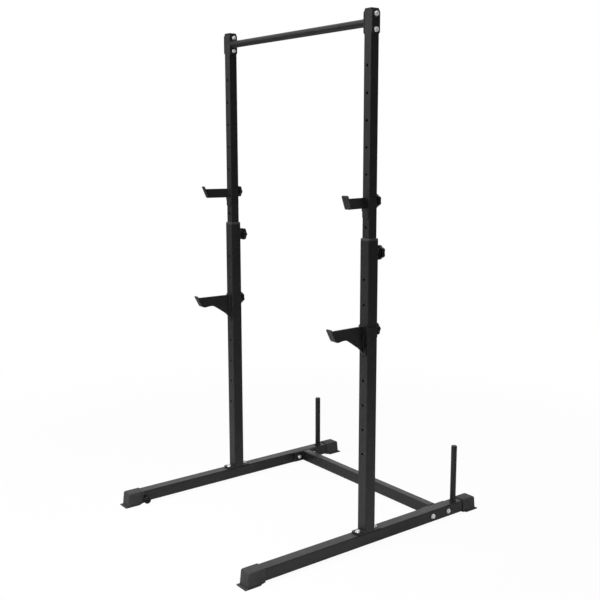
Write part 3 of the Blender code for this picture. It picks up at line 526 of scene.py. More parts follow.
def combined(bm, tool, operation="DIFFERENCE"):
    target = looseObject(bm)
    other = looseObject(tool)
    boolean = target.modifiers.new("combine", "BOOLEAN")
    boolean.operation = operation
    boolean.solver = "EXACT"
    boolean.object = other
    result = evaluated(target)
    bpy.data.objects.remove(other, do_unlink=True)
    return result


weld = {
    "width": 0.0044,
    "ripple": 0.0026,
    "swell": 0.13,
    "end": 0.55,      # how thin an open bead ends
    "shortOfEdge": 0.003,
}


def weldBead(path, closed=True, width=weld["width"]):
    # tube along the seam whose thickness swells and shrinks as a row of weld ripples does
    curve = bpy.data.curves.new("weld", "CURVE")
    curve.dimensions = "3D"
    curve.bevel_depth = width / 2
    curve.bevel_resolution = 2
    curve.use_fill_caps = not closed
    spline = curve.splines.new("POLY")
    spline.use_cyclic_u = closed
    spline.points.add(len(path) - 1)
    for number, (point, place) in enumerate(zip(spline.points, path)):
        point.co = (*place, 1)
        point.radius = 1 + weld["swell"] * (1, 0.3, -1)[number % 3]
    if not closed:
        spline.points[0].radius = weld["end"]
        spline.points[-1].radius = weld["end"]
    bead = bpy.data.objects.new("weld", curve)
    bpy.context.collection.objects.link(bead)
    bm = evaluated(bead)
    bmesh.ops.remove_doubles(bm, verts=bm.verts, dist=mergeWithin)
    bmesh.ops.recalc_face_normals(bm, faces=bm.faces)
    return bm


def rippleCount(length):
    return 3 * max(2, ceil(length / weld["ripple"]))


def straightSeam(start, end):
    start = Vector(start)
    end = Vector(end)
    count = rippleCount((end - start).length)
    return [start.lerp(end, n / count) for n in range(count + 1)]


def roundSeam(radius, height=0.0):
    count = rippleCount(2 * pi * radius)
    turns = [2 * pi * n / count for n in range(count)]
    return [Vector((radius * cos(t), radius * sin(t), height)) for t in turns]


creaseFrom = radians(27)      # gentler edges are shaded smooth
roundFrom = radians(48)      # sharper ones get a small round


def makePiece(name, shapes, finish, body, node, rounding, segments=2):
    # a shape that comes as a pair with another finish keeps that finish
    used = [finish]
    plain = []
    for shape in shapes:
        other = finish
        if isinstance(shape, tuple):
            shape, other = shape
        if other not in used:
            used.append(other)
        for face in shape.faces:
            face.material_index = used.index(other)
        plain.append(shape)
    bm = joined(plain)
    for face in bm.faces:
        face.smooth = True
    for edge in bm.edges:
        edge.smooth = not creaseFrom < edge.calc_face_angle(0) < roundFrom
    mesh = bpy.data.meshes.new(name)
    bm.to_mesh(mesh)
    bm.free()
    for each in used:
        mesh.materials.append(finishes[each])
    piece = bpy.data.objects.new(name, mesh)
    bpy.context.collection.objects.link(piece)
    bevel = piece.modifiers.new("rounding", "BEVEL")
    bevel.width = rounding
    bevel.segments = segments
    bevel.limit_method = "ANGLE"
    bevel.angle_limit = roundFrom
    shading = piece.modifiers.new("shading", "WEIGHTED_NORMAL")
    shading.keep_sharp = True
    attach(piece, body)
    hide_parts(node)


def pieceName(word, *ends):
    return word + "".join(end.capitalize() for end in ends)


# base rails

railLook = {"corner": 0.004, "wall": 0.0022}


def baseRail(side):
    low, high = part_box("base_rail_" + side)
    size = high - low
    tube = squareTube(size.x, size.z, railLook["corner"], railLook["wall"], size.y)
    moved(tube, alongAxis((0, 1, 0), (uprightX[side], low.y, (low.z + high.z) / 2)))
    holes = []
    for end in ("front", "rear"):
        bolt = middle("crossmember_bolt_" + side + "_" + end)
        holes.append(drill(boltLook["hole"], size.x + 2 * past, (1, 0, 0), (low.x - past, bolt.y, bolt.z)))
        bolt = middle("base_plate_bolt_" + side + "_" + end)
        holes.append(drill(boltLook["hole"], 2 * past, (0, 0, 1), (bolt.x, bolt.y, high.z - past)))
    tube = combined(tube, joined(holes))
    makePiece(pieceName("baseRail", side), [tube], "coat", "stand", "base_rail_" + side, rounding=0.0004)


# end shoes

shoeLook = {
    "soleThick": 0.0032,
    "soleLength": 0.072,
    "soleRim": 0.003,
    "toeRim": 0.012,      # sole in front of the toe
    "toeTop": 0.0190,
    "toeRound": 0.0085,
    "edgeRound": 0.0055,
    "toeDepth": 0.030,      # solid plastic in front of the rail
    "archRise": 0.0047,
    "archLength": 0.011,      # how far the underside slopes up behind the sole
    "archRound": 0.006,
    "heelRound": 0.002,
    "soleCorner": 0.004,
}


def endShoe(side, end):
    node = "end_shoe_" + end + "_" + side
    low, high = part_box(node)
    look = shoeLook
    outward = -1 if end == "front" else 1
    toe = low.y if end == "front" else high.y
    length = high.y - low.y
    width = high.x - low.x - 2 * look["soleRim"]
    outline = [(look["toeRim"], 0), (look["toeTop"], high.z), (length, high.z), (length, look["archRise"]),
               (look["soleLength"] + look["archLength"], look["archRise"]), (look["soleLength"], 0)]
    body = plateFromOutline(outline, width, {1: look["toeRound"], 4: look["archRound"], 5: look["heelRound"]})
    # the long edges of both sides, but not those of the sole and of the open end
    sideEdges = [e for e in body.edges if e.calc_face_angle(0) > sharpAngle
                 and abs(e.verts[0].co.x - e.verts[1].co.x) < slack
                 and min(v.co.z for v in e.verts) > -slack and max(v.co.z for v in e.verts) > high.z / 3
                 and min(v.co.y for v in e.verts) < length - slack]
    roundOff(body, sideEdges, look["edgeRound"], roundSteps)
    sole = startBlock(high.x - low.x, look["soleLength"], look["soleThick"], look["soleCorner"])
    shifted(sole, 0, look["soleLength"] / 2, 0)
    rail = extent("base_rail_" + side).x + 2 * gap
    pocket = startBlock(rail, rail, length, railLook["corner"])
    railMiddle = middle("base_rail_" + side).z
    moved(pocket, alongAxis((0, 1, 0), (0, look["toeDepth"] - gap, railMiddle)))
    body = combined(body, pocket)
    # the outline runs inwards from the toe, so it is mirrored for the rear shoes
    place = Matrix.Translation((uprightX[side], toe, 0)) @ Matrix.Scale(-outward, 4, (0, 1, 0))
    shapes = [moved(body, place), moved(sole, place)]
    makePiece(pieceName("endShoe", end, side), shapes, "shoe", "stand", node, rounding=0.0009, segments=3)


# bolts and nuts

boltLook = {
    "across": 0.016,
    "head": 0.0064,
    "flangeRadius": 0.0105,
    "flangeThick": 0.0021,
    "washerRadius": 0.0098,
    "washerThick": 0.0014,
    "shank": 0.0049,
    "hole": 0.0055,
    "nut": 0.008,
    "pastNut": 0.002,
    "nutTurn": 0.3,      # from the head
    "pitch": 0.0015,
    "threadDepth": 0.0006,
    "threadAhead": 0.004,      # how far the thread runs out in front of the nut
    "tip": 0.001,
    "dishShare": 0.30,      # radius of the hollow in the head against the width across the flats
    "dishDepth": 0.0004,
    "flangeUpright": 0.45,      # share of the flange's thickness below its slope
    "flangeSlope": 0.0022,
}
hexChamfer = {
    "face": 0.475,      # radius of the round end face against the width across the flats
    "slope": 0.577,      # thirty degrees
    "outside": 0.0002,      # how far the turned shape clears the corners
}


def threadedRod(radius, start, end, threadFrom):
    # shank with a tapered tip, its thread drawn as a row of grooves
    pitch = boltLook["pitch"]
    profile = [(0, start), (radius, start), (radius, threadFrom)]
    count = int((end - threadFrom) / pitch) - 1
    for n in range(count):
        height = threadFrom + pitch * (n + 0.5)
        profile += [(radius - boltLook["threadDepth"], height), (radius, height + pitch / 2)]
    profile += [(radius, end - boltLook["tip"]), (radius - boltLook["tip"], end), (0, end)]
    return turnedShape(profile, steps=32)


def startHex(across, height):
    return rod(across / 2 / cos(pi / 6), height, sidesRound=6)


def hexShape(across, height, chamferFoot=False):
    # six-sided prism with the curved chamfers that turning leaves on it
    corner = across / 2 / cos(pi / 6) + hexChamfer["outside"]
    cone = across * hexChamfer["face"]
    drop = (corner - cone) * hexChamfer["slope"]
    profile = [(0, 0), (cone, 0), (corner, drop)] if chamferFoot else [(0, 0), (corner, 0)]
    profile += [(corner, height - drop), (cone, height), (0, height)]
    return combined(startHex(across, height), turnedShape(profile), "INTERSECT")


def boltAndNut(seat, direction, stack, flanged=True, turn=0.0):
    # seat is the point under the head, direction runs along the shank, stack is what it clamps
    look = boltLook
    shapes = []
    head = hexShape(look["across"], look["head"])
    dish = rod(look["across"] * look["dishShare"], 5 * look["dishDepth"])
    shifted(dish, 0, 0, look["head"] - look["dishDepth"])
    head = combined(head, dish)
    shapes.append(moved(head, Matrix.Rotation(pi, 4, "X") @ Matrix.Rotation(turn, 4, "Z")))
    if flanged:
        radius, thick = look["flangeRadius"], look["flangeThick"]
        profile = [(0, 0), (radius, 0), (radius, -thick * look["flangeUpright"]),
                   (radius - look["flangeSlope"], -thick), (0, -thick)]
    else:
        radius, thick = look["washerRadius"], look["washerThick"]
        profile = [(0, 0), (radius, 0), (radius, -thick), (0, -thick)]
    shapes.append(turnedShape(profile))
    nutStart = stack + gap
    tip = nutStart + look["nut"] + look["pastNut"]
    shapes.append(threadedRod(look["shank"], -look["head"] / 2, tip, nutStart - look["threadAhead"]))
    nut = hexShape(look["across"], look["nut"], chamferFoot=True)
    nutPlace = Matrix.Translation((0, 0, nutStart)) @ Matrix.Rotation(turn + look["nutTurn"], 4, "Z")
    shapes.append(moved(nut, nutPlace))
    place = alongAxis(direction, seat)
    return [moved(shape, place) for shape in shapes]


def crossmemberBolt(side, end, number):
    node = "crossmember_bolt_" + side + "_" + end
    sign = sides[side]
    centre = middle(node)
    outerFace = uprightX[side] + sign * extent("base_rail_" + side).x / 2
    flangeInner = uprightX[side] - sign * (extent("base_rail_" + side).x / 2 + gap + crossLook["flangeThick"])
    seat = (outerFace + sign * gap, centre.y, centre.z)
    shapes = boltAndNut(seat, (-sign, 0, 0), abs(outerFace - flangeInner) + gap, turn=0.35 * number)
    makePiece(pieceName("crossmemberBolt", side, end), shapes, "zinc", "stand", node, rounding=0.00025)


def basePlateBolt(side, end, number):
    node = "base_plate_bolt_" + side + "_" + end
    centre = middle(node)
    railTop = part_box("base_rail_" + side)[1].z
    seat = railTop + 2 * gap + plateLook["thick"]
    stack = seat - railTop + railLook["wall"]
    shapes = boltAndNut((centre.x, centre.y, seat), (0, 0, -1), stack, turn=0.2 + 0.4 * number)
    makePiece(pieceName("basePlateBolt", side, end), shapes, "zinc", "stand", node, rounding=0.00025)


# rear crossmember

crossLook = {
    "corner": 0.006,      # of the tube
    "wall": 0.002,
    "depth": 0.040,
    "flangeThick": 0.005,
    "flangeHeight": 0.046,
    "flangeCorner": 0.007,
    "opening": 0.012,
}


def rearCrossmember():
    look = crossLook
    low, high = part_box("rear_crossmember")
    centre = (low + high) / 2
    height = high.z - low.z
    reach = high.x - look["flangeThick"]
    tube = squareTube(height, look["depth"], look["corner"], look["wall"], 2 * reach)
    shapes = [moved(tube, Matrix.Translation((-reach, centre.y, centre.z)) @ Matrix.Rotation(pi / 2, 4, "Y"))]
    flangeLength = high.y - low.y
    for side, sign in sides.items():
        half = Vector((flangeLength / 2, look["flangeHeight"] / 2))
        flange = roundedPlate(half, look["flangeThick"], look["flangeCorner"])
        moved(flange, Matrix.Translation((sign * (high.x - look["flangeThick"] / 2), centre.y, centre.z)))
        start = sign * high.x - past
        holes = [drill(look["opening"], 2 * past, (1, 0, 0), (start, centre.y, centre.z))]
        for end in ("front", "rear"):
            bolt = middle("crossmember_bolt_" + side + "_" + end)
            holes.append(drill(boltLook["hole"], 2 * past, (1, 0, 0), (start, bolt.y, bolt.z)))
        shapes.append(combined(flange, joined(holes)))
        for face in (-1, 1):
            y = centre.y + face * look["depth"] / 2
            drop = look["flangeHeight"] / 2 - weld["shortOfEdge"]
            seam = straightSeam((sign * reach, y, centre.z - drop), (sign * reach, y, centre.z + drop))
            shapes.append(weldBead(seam, closed=False))
    makePiece("rearCrossmember", shapes, "coat", "stand", "rear_crossmember", rounding=0.0005)


# uprights

plateLook = {"length": 0.118, "thick": 0.005, "corner": 0.007, "bead": 0.005}
tubeLook = {
    "lowerCorner": 0.004,
    "lowerWall": 0.002,
    "upperCorner": 0.0036,
    "upperWall": 0.0015,
    "holePitch": 0.100,
    "holeRadius": 0.0056,
    "lowerHoles": range(-5, 3),      # counted from the hole that holds the safety arm
    "upperHoles": range(-4, 6),      # counted from the hole that holds the bar hook
    "noseHole": 0.0081,
}


def rowOfHoles(x, size, heights, radius):
    start = uprightY - size
    return [drill(radius, 2 * size, (0, 1, 0), (x, start, height)) for height in heights]


def lowerUpright(side):
    look = tubeLook
    node = "lower_upright_" + side
    low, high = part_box(node)
    x = uprightX[side]
    plateTop = low.z + plateLook["thick"]
    tube = squareTube(lowerSize, lowerSize, look["lowerCorner"], look["lowerWall"], high.z - plateTop)
    shifted(tube, x, uprightY, plateTop)
    heights = [safetyHeight + n * look["holePitch"] for n in look["lowerHoles"]]
    holes = rowOfHoles(x, lowerSize, heights, look["holeRadius"])
    holes.append(drill(look["noseHole"], lowerSize, (0, 1, 0), (x, uprightY, pinHeight)))
    tube = combined(tube, joined(holes))
    plate = startBlock(lowerSize, plateLook["length"], plateLook["thick"], plateLook["corner"])
    shifted(plate, x, uprightY, low.z)
    boltHoles = []
    for end in ("front", "rear"):
        bolt = middle("base_plate_bolt_" + side + "_" + end)
        boltHoles.append(drill(boltLook["hole"], 2 * past, (0, 0, 1), (bolt.x, bolt.y, low.z - past)))
    plate = combined(plate, joined(boltHoles))
    shapes = [tube, plate]
    half = lowerSize / 2
    reach = half - weld["shortOfEdge"]
    for face in (-1, 1):
        y = uprightY + face * half
        seam = straightSeam((x - reach, y, plateTop), (x + reach, y, plateTop))
        shapes.append(weldBead(seam, closed=False, width=plateLook["bead"]))
    makePiece(pieceName("lowerUpright", side), shapes, "coat", "stand", node, rounding=0.0005)


def upperUpright(side):
    look = tubeLook
    node = "upper_upright_" + side
    low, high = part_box(node)
    x = uprightX[side]
    tube = squareTube(upperSize, upperSize, look["upperCorner"], look["upperWall"], high.z - low.z)
    shifted(tube, x, uprightY, low.z)
    heights = [hookHeight + n * look["holePitch"] for n in look["upperHoles"]]
    holes = rowOfHoles(x, upperSize, heights, look["holeRadius"])
    for end in ("upper", "lower"):
        bolt = middle("bar_bolt_" + side + "_" + end)
        holes.append(drill(boltLook["hole"], 2 * upperSize, (1, 0, 0), (x - upperSize, bolt.y, bolt.z)))
    tube = combined(tube, joined(holes))
    makePiece(pieceName("upperUpright", side), [tube], "coat", "upper_frame", node, rounding=0.0004)


bushingLook = {"collar": 0.009, "corner": 0.005, "shoulder": 0.00315, "sleeveCorner": 0.003}


def tubeBushing(side):
    look = bushingLook
    node = "tube_bushing_" + side
    low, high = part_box(node)
    bore = upperSize + 2 * gap
    seat = high.z - look["collar"]
    collar = squareTube(lowerSize, lowerSize, look["corner"], (lowerSize - bore) / 2, look["collar"])
    # the outer edges of the collar's top, not those of its bore
    shoulder = [e for e in collar.edges if min(v.co.z for v in e.verts) > look["collar"] - tiny
                and max(max(abs(v.co.x), abs(v.co.y)) for v in e.verts) > bore / 2 + slack
                and e.calc_face_angle(0) > sharpAngle]
    roundOff(collar, shoulder, look["shoulder"], segments=5)
    sleeveSize = lowerSize - 2 * tubeLook["lowerWall"] - 2 * gap
    sleeve = squareTube(sleeveSize, sleeveSize, look["sleeveCorner"], (sleeveSize - bore) / 2,
                        seat - low.z + 2 * overlap)
    shapes = [shifted(collar, uprightX[side], uprightY, seat),
              shifted(sleeve, uprightX[side], uprightY, low.z)]
    makePiece(pieceName("tubeBushing", side), shapes, "shoe", "stand", node, rounding=0.0003)


capLook = {"crown": 0.0034, "crownHeight": 0.0054, "plugCorner": 0.0025}


def topCap(side):
    node = "top_cap_" + side
    low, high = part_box(node)
    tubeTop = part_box("upper_upright_" + side)[1].z
    thick = high.z - tubeTop - gap
    lid = startBlock(upperSize, upperSize, thick, tubeLook["upperCorner"])
    rimEdges = [e for e in lid.edges if min(v.co.z for v in e.verts) > thick - tiny]
    roundOff(lid, rimEdges, capLook["crown"], roundSteps)
    # the crown is taller than it is wide, so that its corners don't fold
    for vert in lid.verts:
        if vert.co.z > tiny:
            vert.co.z = thick - (thick - vert.co.z) * capLook["crownHeight"] / capLook["crown"]
    plugSize = upperSize - 2 * tubeLook["upperWall"] - 2 * gap
    plug = startBlock(plugSize, plugSize, tubeTop - low.z + 2 * overlap, capLook["plugCorner"])
    shapes = [shifted(lid, uprightX[side], uprightY, tubeTop + gap),
              shifted(plug, uprightX[side], uprightY, low.z)]
    makePiece(pieceName("topCap", side), shapes, "knob", "upper_frame", node, rounding=0.0003)


# pull-up bar

barLook = {
    "radius": 0.015,
    "wall": 0.002,
    "plateThick": 0.004,
    "plateCorner": 0.0125,
    "flareRadius": 0.018,
    "flareLength": 0.034,
    "flareSteps": 8,
    "flareCurve": 1.7,      # above 1 the curve is hollow
    "bead": 0.0030,
}


def endPlate(x, holesAt):
    low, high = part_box("bar_clamp_plate_right")
    half = Vector((high.y - low.y, high.z - low.z)) / 2
    plate = roundedPlate(half, barLook["plateThick"], barLook["plateCorner"])
    shifted(plate, x, uprightY, barHeight)
    holes = [drill(boltLook["hole"], 2 * past, (1, 0, 0), (x - past, y, z)) for y, z in holesAt]
    return combined(plate, joined(holes))


def barHoles(side):
    return [(middle("bar_bolt_" + side + "_" + end).y, middle("bar_bolt_" + side + "_" + end).z)
            for end in ("upper", "lower")]


def pullUpBar():
    look = barLook
    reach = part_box("pull_up_bar")[1].x
    foot = look["plateThick"] - overlap
    inner = look["radius"] - look["wall"]
    # a hollow curve from the plate down to the bar
    flare = []
    for n in range(look["flareSteps"] + 1):
        share = n / look["flareSteps"]
        swell = (look["flareRadius"] - look["radius"]) * (1 - share) ** look["flareCurve"]
        flare.append((look["radius"] + swell, foot + look["flareLength"] * share))
    outer = flare + [(radius, 2 * reach - along) for radius, along in reversed(flare)]
    profile = outer + [(inner, 2 * reach - foot), (inner, foot)]
    bar = turnedShape(profile, steps=64, hollow=True)
    shapes = [moved(bar, alongAxis((1, 0, 0), (-reach, uprightY, barHeight)))]
    for side, sign in sides.items():
        shapes.append(endPlate(sign * (reach - look["plateThick"] / 2), barHoles(side)))
        seam = [alongAxis((1, 0, 0), (sign * (reach - look["plateThick"]), uprightY, barHeight)) @ place
                for place in roundSeam(look["flareRadius"])]
        shapes.append(weldBead(seam, width=look["bead"]))
    makePiece("pullUpBar", shapes, "coat", "upper_frame", "pull_up_bar", rounding=0.0006)


def barClampPlate(side):
    node = "bar_clamp_plate_" + side
    plate = endPlate(middle(node).x, barHoles(side))
    makePiece(pieceName("barClampPlate", side), [plate], "coat", "upper_frame", node, rounding=0.0007)


def barBolt(side, end, number):
    node = "bar_bolt_" + side + "_" + end
    sign = sides[side]
    centre = middle(node)
    outer = upperSize / 2 + 2 * gap + barLook["plateThick"]
    seat = (uprightX[side] + sign * outer, centre.y, centre.z)
    shapes = boltAndNut(seat, (-sign, 0, 0), 2 * outer - gap, flanged=False, turn=0.15 + 0.3 * number)
    makePiece(pieceName("barBolt", side, end), shapes, "zinc", "upper_frame", node, rounding=0.00025)


# bar hooks and safety arms: a bent bracket round the upright, an arm with a slanted lip and a stud

bracketLook = {
    "thick": 0.003,
    "bend": 0.0042,
    "shortOfTube": 0.003,      # from the cheek's edge to the tube's rear face
    "studPastTube": 0.015,
    "armThick": 0.008,
    "lipThick": 0.005,
    "lipWidth": 0.030,
    "lipRound": 0.0042,
    "footRound": 0.010,
    "kneeRound": 0.004,
    "kneeDrop": 0.014,      # from the cheeks' foot to where the tongue starts
    "cheekRound": 0.006,
    "armBeadFoot": 0.004,      # how far the weld along the arm stops short
    "armBeadTop": 0.001,
    "lipBead": 0.0034,
    "lipBeadFrom": 0.10,      # shares of the lip's length
    "lipBeadTo": 0.68,
}
hookLook = {
    "toeOut": radians(11),
    "plateFoot": -0.068,
    "plateTop": 0.012,
    "cheekFoot": -0.029,
    "cheekTop": 0.0115,
    "topSlope": 0.0,
    "tongue": 0.034,
    "arm": [(-0.0015, -0.027), (0.103, -0.027), (0.119, 0.0135), (-0.0015, 0.0135)],
    "armRounding": {1: 0.006},
    "lipFoot": (0.1015, -0.026),
    "lipTop": (0.123, 0.025),
}
safetyLook = {
    "toeOut": radians(2),
    "plateFoot": -0.101,
    "plateTop": 0.024,
    "cheekFoot": -0.030,
    "cheekTop": 0.0155,
    "topSlope": 0.009,
    "tongue": 0.036,
    "arm": [(-0.0015, -0.0925), (0.006, -0.0835), (0.020, -0.0685), (0.075, -0.0325), (0.089, -0.0255),
            (0.111, -0.026), (0.129, -0.0295), (0.142, -0.0275), (0.151, -0.0195), (0.167, 0.0185),
            (-0.0015, 0.0185)],
    "armRounding": {1: 0.005, 2: 0.011, 3: 0.008, 4: 0.008, 5: 0.008, 6: 0.006, 7: 0.006, 8: 0.005},
    "lipFoot": (0.1510, -0.0210),
    "lipTop": (0.1760, 0.0265),
}


def bentBracket(tubeSize, look):
    thick = bracketLook["thick"]
    inside = tubeSize / 2 + gap
    outside = inside + thick
    knee = look["cheekFoot"] - bracketLook["kneeDrop"]
    half = look["tongue"] / 2
    rightSide = [(half, look["plateFoot"]), (half, knee), (outside, look["cheekFoot"]),
                 (outside, look["cheekTop"])]
    if look["topSlope"]:
        rightSide.append((outside - look["topSlope"], look["plateTop"]))
    outline = rightSide + [(-x, z) for x, z in reversed(rightSide)]
    bm = bmesh.new()
    verts = [bm.verts.new((x, -outside, z)) for x, z in outline]
    bm.faces.new(verts)
    bends = [e for e in bm.edges if abs(e.verts[0].co.x - e.verts[1].co.x) < tiny
             and min(abs(v.co.x) for v in e.verts) > outside - tiny]
    footCorners = [verts[0], verts[-1]]
    shoulders = [verts[1], verts[-2]]
    grown = bmesh.ops.extrude_edge_only(bm, edges=bends)
    rear = newVerts(grown)
    bmesh.ops.translate(bm, verts=rear, vec=(0, outside + tubeSize / 2 - bracketLook["shortOfTube"], 0))
    roundOff(bm, footCorners, bracketLook["footRound"], outlineSteps, "VERTICES")
    roundOff(bm, shoulders, bracketLook["kneeRound"], 5, "VERTICES")
    roundOff(bm, rear, bracketLook["cheekRound"], roundSteps, "VERTICES")
    bends = [e for e in bm.edges if len(e.link_faces) == 2]
    roundOff(bm, bends, bracketLook["bend"], roundSteps)
    bmesh.ops.recalc_face_normals(bm, faces=bm.faces)
    front = min(bm.faces, key=lambda f: f.calc_center_median().y)
    if front.normal.y > 0:
        bmesh.ops.reverse_faces(bm, faces=bm.faces)
    bmesh.ops.solidify(bm, geom=list(bm.faces), thickness=thick)
    bmesh.ops.recalc_face_normals(bm, faces=bm.faces)
    return bm


def slantedLip(look):
    # flat bar across the arm's end, its upper corners rounded
    foot = Vector(look["lipFoot"])
    top = Vector(look["lipTop"])
    length = (top - foot).length
    bar = startBlock(bracketLook["lipWidth"], bracketLook["lipThick"], length)
    corners = [e for e in bar.edges if abs(e.verts[0].co.y - e.verts[1].co.y) > slack]
    roundOff(bar, corners, bracketLook["lipRound"], roundSteps)
    return moved(bar, alongAxis((0, -(top - foot).x, (top - foot).y), (0, -foot.x, foot.y)))


def holder(word, side, tubeSize, height, look, node, body):
    bracket = bracketLook
    plateFront = tubeSize / 2 + gap + bracket["thick"]
    armOutline = [(-depth, z) for depth, z in look["arm"]]
    arm = plateFromOutline(armOutline, bracket["armThick"], look["armRounding"])
    lip = slantedLip(look)
    welds = []
    beadFoot = look["arm"][0][1] + bracket["armBeadFoot"]
    beadTop = look["arm"][-1][1] - bracket["armBeadTop"]
    foot = Vector((-look["lipFoot"][0], look["lipFoot"][1]))
    top = Vector((-look["lipTop"][0], look["lipTop"][1]))
    back = Vector((-(top - foot).y, (top - foot).x)).normalized() * bracket["lipThick"] / 2
    low = foot.lerp(top, bracket["lipBeadFrom"]) - back
    high = foot.lerp(top, bracket["lipBeadTo"]) - back
    for face in (-1, 1):
        x = face * bracket["armThick"] / 2
        welds.append(weldBead(straightSeam((x, 0, beadFoot), (x, 0, beadTop)), closed=False))
        seam = straightSeam((x, low.x, low.y), (x, high.x, high.y))
        welds.append(weldBead(seam, closed=False, width=bracket["lipBead"]))
    turn = Matrix.Translation((0, -plateFront, 0)) @ Matrix.Rotation(sides[side] * look["toeOut"], 4, "Z")
    shapes = [moved(shape, turn) for shape in (arm, lip, *welds)]
    shapes.append(bentBracket(tubeSize, look))
    studStart = -plateFront + bracket["thick"] / 2
    studEnd = tubeSize / 2 + bracket["studPastTube"]
    threadFrom = tubeSize / 2 - studStart - boltLook["threadAhead"]
    stud = threadedRod(boltLook["shank"], 0, studEnd - studStart, threadFrom)
    shapes.append((moved(stud, alongAxis((0, 1, 0), (0, studStart, 0))), "zinc"))
    place = Matrix.Translation((uprightX[side], uprightY, height))
    shapes = [(moved(s[0], place), s[1]) if isinstance(s, tuple) else moved(s, place) for s in shapes]
    makePiece(pieceName(word, side), shapes, "coat", body, node, rounding=0.0006)


# clamp knobs

knobLook = {
    "radius": 0.0259,
    "lobes": 6,
    "lobeDepth": 0.0034,
    "head": 0.014,
    "neck": 0.005,
    "neckRadius": 0.0125,
    "neckUpright": 0.003,      # below its flare
    "neckFlare": 0.0015,
    "crown": 0.0038,
    "dish": 0.0012,
    "bore": 0.0053,
    "boreDepth": 0.011,      # in the head
    "insertRadius": 0.0082,      # metal nut that shows round the bore
    "insertDepth": 0.004,
}
headLook = {
    "lobeSteps": 14,
    "footRound": 0.0015,
    "dishRim": 0.84,      # against the flat top
    "dishFloor": 0.94,      # against the rim
}


def lobedHead(look, height):
    # lobed disc standing on z = 0, with a soft crown and a shallow dish on top
    bm = bmesh.new()
    steps = look["lobes"] * headLook["lobeSteps"]
    bmesh.ops.create_circle(bm, cap_ends=True, radius=look["radius"], segments=steps)
    for vert in bm.verts:
        angle = Vector((1, 0)).angle_signed(vert.co.xy, 0)
        vert.co.xy *= 1 - look["lobeDepth"] / look["radius"] * (1 - cos(look["lobes"] * angle)) / 2
    grown = bmesh.ops.extrude_face_region(bm, geom=list(bm.faces))
    bmesh.ops.translate(bm, verts=newVerts(grown), vec=(0, 0, height))
    bmesh.ops.recalc_face_normals(bm, faces=bm.faces)
    for facing, offset, steps in ((1, look["crown"], roundSteps), (-1, headLook["footRound"], 3)):
        flat = [f for f in bm.faces if f.normal.z * facing > 0.9]
        roundOff(bm, [e for f in flat for e in f.edges], offset, steps)
    top = max((f for f in bm.faces if f.normal.z > 0.9), key=lambda f: f.calc_area())
    for shrink, sink in ((headLook["dishRim"], 0.0), (headLook["dishFloor"], look["dish"])):
        top = bmesh.ops.extrude_discrete_faces(bm, faces=[top])["faces"][0]
        bmesh.ops.scale(bm, vec=(shrink, shrink, 1), verts=list(top.verts))
        bmesh.ops.translate(bm, vec=(0, 0, -sink), verts=list(top.verts))
    return bm


def clampKnob(word, side, node, body, turn):
    look = knobLook
    low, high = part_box(node)
    neckRadius = look["neckRadius"]
    bore = look["bore"]
    neckEnd = look["neck"] + overlap
    neck = turnedShape([(bore, 0), (neckRadius, 0), (neckRadius, look["neckUpright"]),
                        (neckRadius + look["neckFlare"], neckEnd), (bore, neckEnd)], hollow=True)
    head = shifted(lobedHead(look, look["head"]), 0, 0, look["neck"])
    head = combined(head, shifted(rod(bore, look["boreDepth"] + overlap), 0, 0, look["neck"] - overlap))
    insertRadius = look["insertRadius"]
    insertEnd = look["insertDepth"]
    insert = turnedShape([(bore, tiny), (insertRadius, tiny), (insertRadius, insertEnd), (bore, insertEnd)],
                         steps=36, hollow=True)
    foot = ((low.x + high.x) / 2, low.y, (low.z + high.z) / 2)
    place = alongAxis((0, 1, 0), foot) @ Matrix.Rotation(turn, 4, "Z")
    shapes = [moved(head, place), moved(neck, place), (moved(insert, place), "zinc")]
    makePiece(pieceName(word, side), shapes, "knob", body, node, rounding=0.0004)


# height pins

pinLook = {
    "housingRadius": 0.012,
    "noseRadius": 0.0078,
    "hexThick": 0.0045,
    "hexInside": 0.0002,      # how much narrower than the housing's radius allows
    "noseBore": 0.0053,
    "chamber": 0.0078,
    "threadTop": 0.0104,
    "threadRoot": 0.0098,
    "tip": 0.0008,
    "frontWall": 0.0017,
    "rearWall": 0.0025,
    "pinRadius": 0.005,
    "endLength": 0.0034,      # of the tapered end, which a round closes
    "roundLength": 0.0022,
    "roundWidth": 0.9,      # of that round against the pin
    "roundSteps": 5,
    "tailRadius": 0.003,
    "tailInKnob": 0.005,
    "collarRadius": 0.0072,
    "collarFrom": 0.0363,      # from the middle of the upright; a pushed pin stops short of the front wall
    "collarThick": 0.0017,
    "bore": 0.0036,
    "knob": {"radius": 0.0288, "lobes": 6, "lobeDepth": 0.0042, "crown": 0.0060, "dish": 0.0012},
    "knobNeck": 0.004,
    "knobNeckRadius": 0.0155,
    "knobNeckChamfer": 0.001,
    "knobNeckFlare": 0.002,
    "knobTurn": {"left": 0.0, "right": radians(30)},
}


